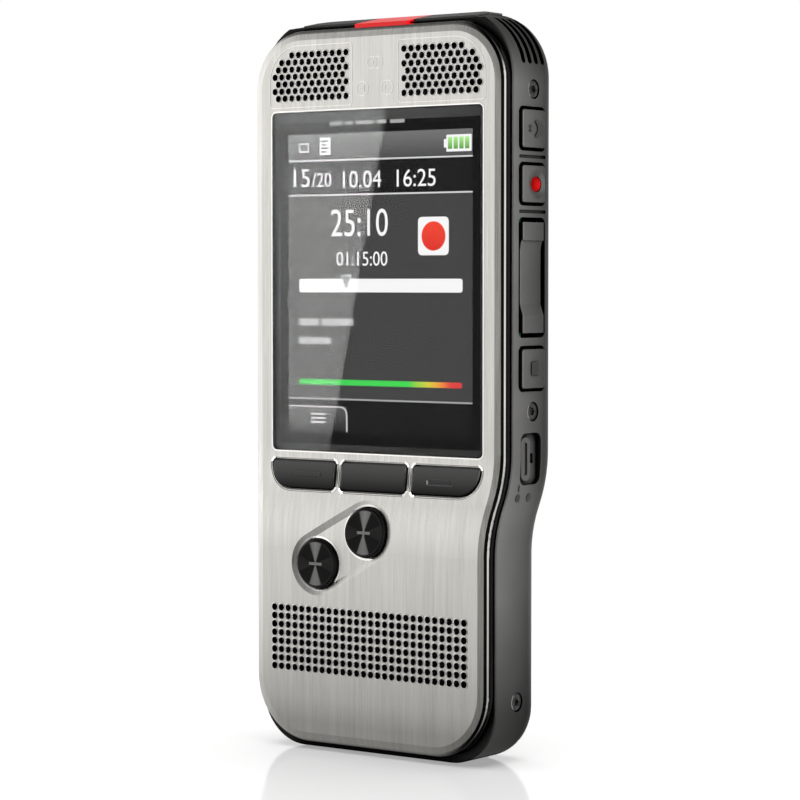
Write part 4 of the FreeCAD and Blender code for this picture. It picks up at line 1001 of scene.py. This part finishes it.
def backdrop():
    """White shell round everything, seen by the camera only."""
    bm = bmesh.new()
    bmesh.ops.create_uvsphere(bm, u_segments=32, v_segments=16, radius=8.5)
    material = bpy.data.materials.new("backdrop")
    material.use_nodes = True
    tree = material.node_tree
    tree.nodes.clear()
    out = tree.nodes.new("ShaderNodeOutputMaterial")
    light = tree.nodes.new("ShaderNodeEmission")
    light.inputs["Strength"].default_value = 1.0
    tree.links.new(light.outputs[0], out.inputs["Surface"])
    piece = stage_mesh("backdrop", bm, material)
    piece.visible_glossy = False
    piece.visible_diffuse = False
    piece.visible_volume_scatter = False
    piece.visible_shadow = False


# brightness of the surround, as (degrees round from the front towards the right, level)
AROUND = (
    (-180, 0.16), (-155, 0.09), (-125, 0.04), (-100, 0.16), (-62, 0.172), (-44, 0.158),
    (-28, 0.108), (-4, 0.052), (10, 0.006), (70, 0.006), (75, 1.0), (112, 1.0),
    (119, 0.010), (150, 0.012), (168, 0.10), (180, 0.16),
)
# and as (0 straight down to 1 straight up, level)
UP = (
    (0.0, 0.12), (0.10, 0.30), (0.20, 0.48), (0.27, 0.62), (0.33, 0.78), (0.395, 0.72),
    (0.42, 0.60), (0.442, 0.86), (0.48, 0.93), (0.52, 0.97), (0.545, 1.0), (0.575, 0.98),
    (0.63, 0.92), (0.68, 0.85), (0.80, 0.16), (1.0, 0.03),
)
BRIGHTNESS = 9.6


def world():
    """Studio: a broad soft light on the left, a bright strip on the right, little light between them."""
    studio = bpy.data.worlds.new("studio")
    bpy.context.scene.world = studio
    studio.use_nodes = True
    tree = studio.node_tree
    way = coordinates(tree, "Generated")
    angle = math_node(tree, "ARCTAN2", way["X"], product(tree, way["Y"], -1))
    turn = spread(tree, angle, 0, 1, -math.pi, math.pi)
    around = ramp_of(tree, turn, [(degrees / 360 + 0.5, level) for degrees, level in AROUND])
    height = ramp_of(tree, spread(tree, way["Z"], 0, 1, -1, 1), UP)
    surround = tree.nodes["Background"]
    surround.inputs["Color"].default_value = (1.0, 0.99, 0.97, 1)
    strength = product(tree, product(tree, around, height), BRIGHTNESS)
    tree.links.new(strength, surround.inputs["Strength"])
    # the camera itself sees a plain white room
    white = tree.nodes.new("ShaderNodeBackground")
    white.inputs["Color"].default_value = (1, 1, 1, 1)
    path = tree.nodes.new("ShaderNodeLightPath")
    choice = tree.nodes.new("ShaderNodeMixShader")
    tree.links.new(path.outputs["Is Camera Ray"], choice.inputs[0])
    tree.links.new(surround.outputs[0], choice.inputs[1])
    tree.links.new(white.outputs[0], choice.inputs[2])
    tree.links.new(choice.outputs[0], tree.nodes["World Output"].inputs["Surface"])


def area_lamp(name, size, place, facing, energy, receiver):
    """A lamp at a place, turned towards a point, that lights one object only."""
    data = bpy.data.lights.new(name, "AREA")
    data.shape = "RECTANGLE"
    data.size, data.size_y = size
    data.energy = energy
    lamp = bpy.data.objects.new(name, data)
    lamp.location = place
    lamp.rotation_euler = (Vector(facing) - Vector(place)).to_track_quat("-Z", "Y").to_euler()
    bpy.context.scene.collection.objects.link(lamp)
    lit = bpy.data.collections.new(name + "_receivers")
    lit.objects.link(receiver)
    lamp.light_linking.receiver_collection = lit
    lamp.visible_camera = False
    return lamp


WINDOW_LAMP_AT = (-0.3690, -0.400, 0.1150)
WINDOW_LAMP_TURN = -12.1            # degrees, which slants the edge of its mirror image


def lamps(ground):
    area_lamp("floor_light", (2.8, 2.8), (0, 0, 2.5), (0, 0, 0), 900, ground)
    sheen = area_lamp("floor_sheen", (2.4, 0.9), (-1.79, 2.41, 0.62), (0, 0, 0.3), 9.0, ground)
    sheen.data.diffuse_factor = 0.0
    # soft light that the display window mirrors on its left part
    x, _, z = WINDOW_LAMP_AT
    window = NODES["display_window"]
    mirrored = area_lamp("window_light", (0.140, 0.340), WINDOW_LAMP_AT, (x, 0, z), 5.4, window)
    mirrored.rotation_euler.rotate_axis("Z", math.radians(WINDOW_LAMP_TURN))
    mirrored.data.use_nodes = True
    tree = mirrored.data.node_tree
    geometry = tree.nodes.new("ShaderNodeNewGeometry")
    split = tree.nodes.new("ShaderNodeSeparateXYZ")
    tree.links.new(geometry.outputs["Parametric"], split.inputs["Vector"])
    fade = spread(tree, split.outputs["Y"], 0.18, 1.0, 0.2, 0.8)
    tree.links.new(fade, tree.nodes["Emission"].inputs["Strength"])


place_camera()
ground = floor()
backdrop()
world()
lamps(ground)
bpy.context.scene.view_settings.view_transform = "Standard"
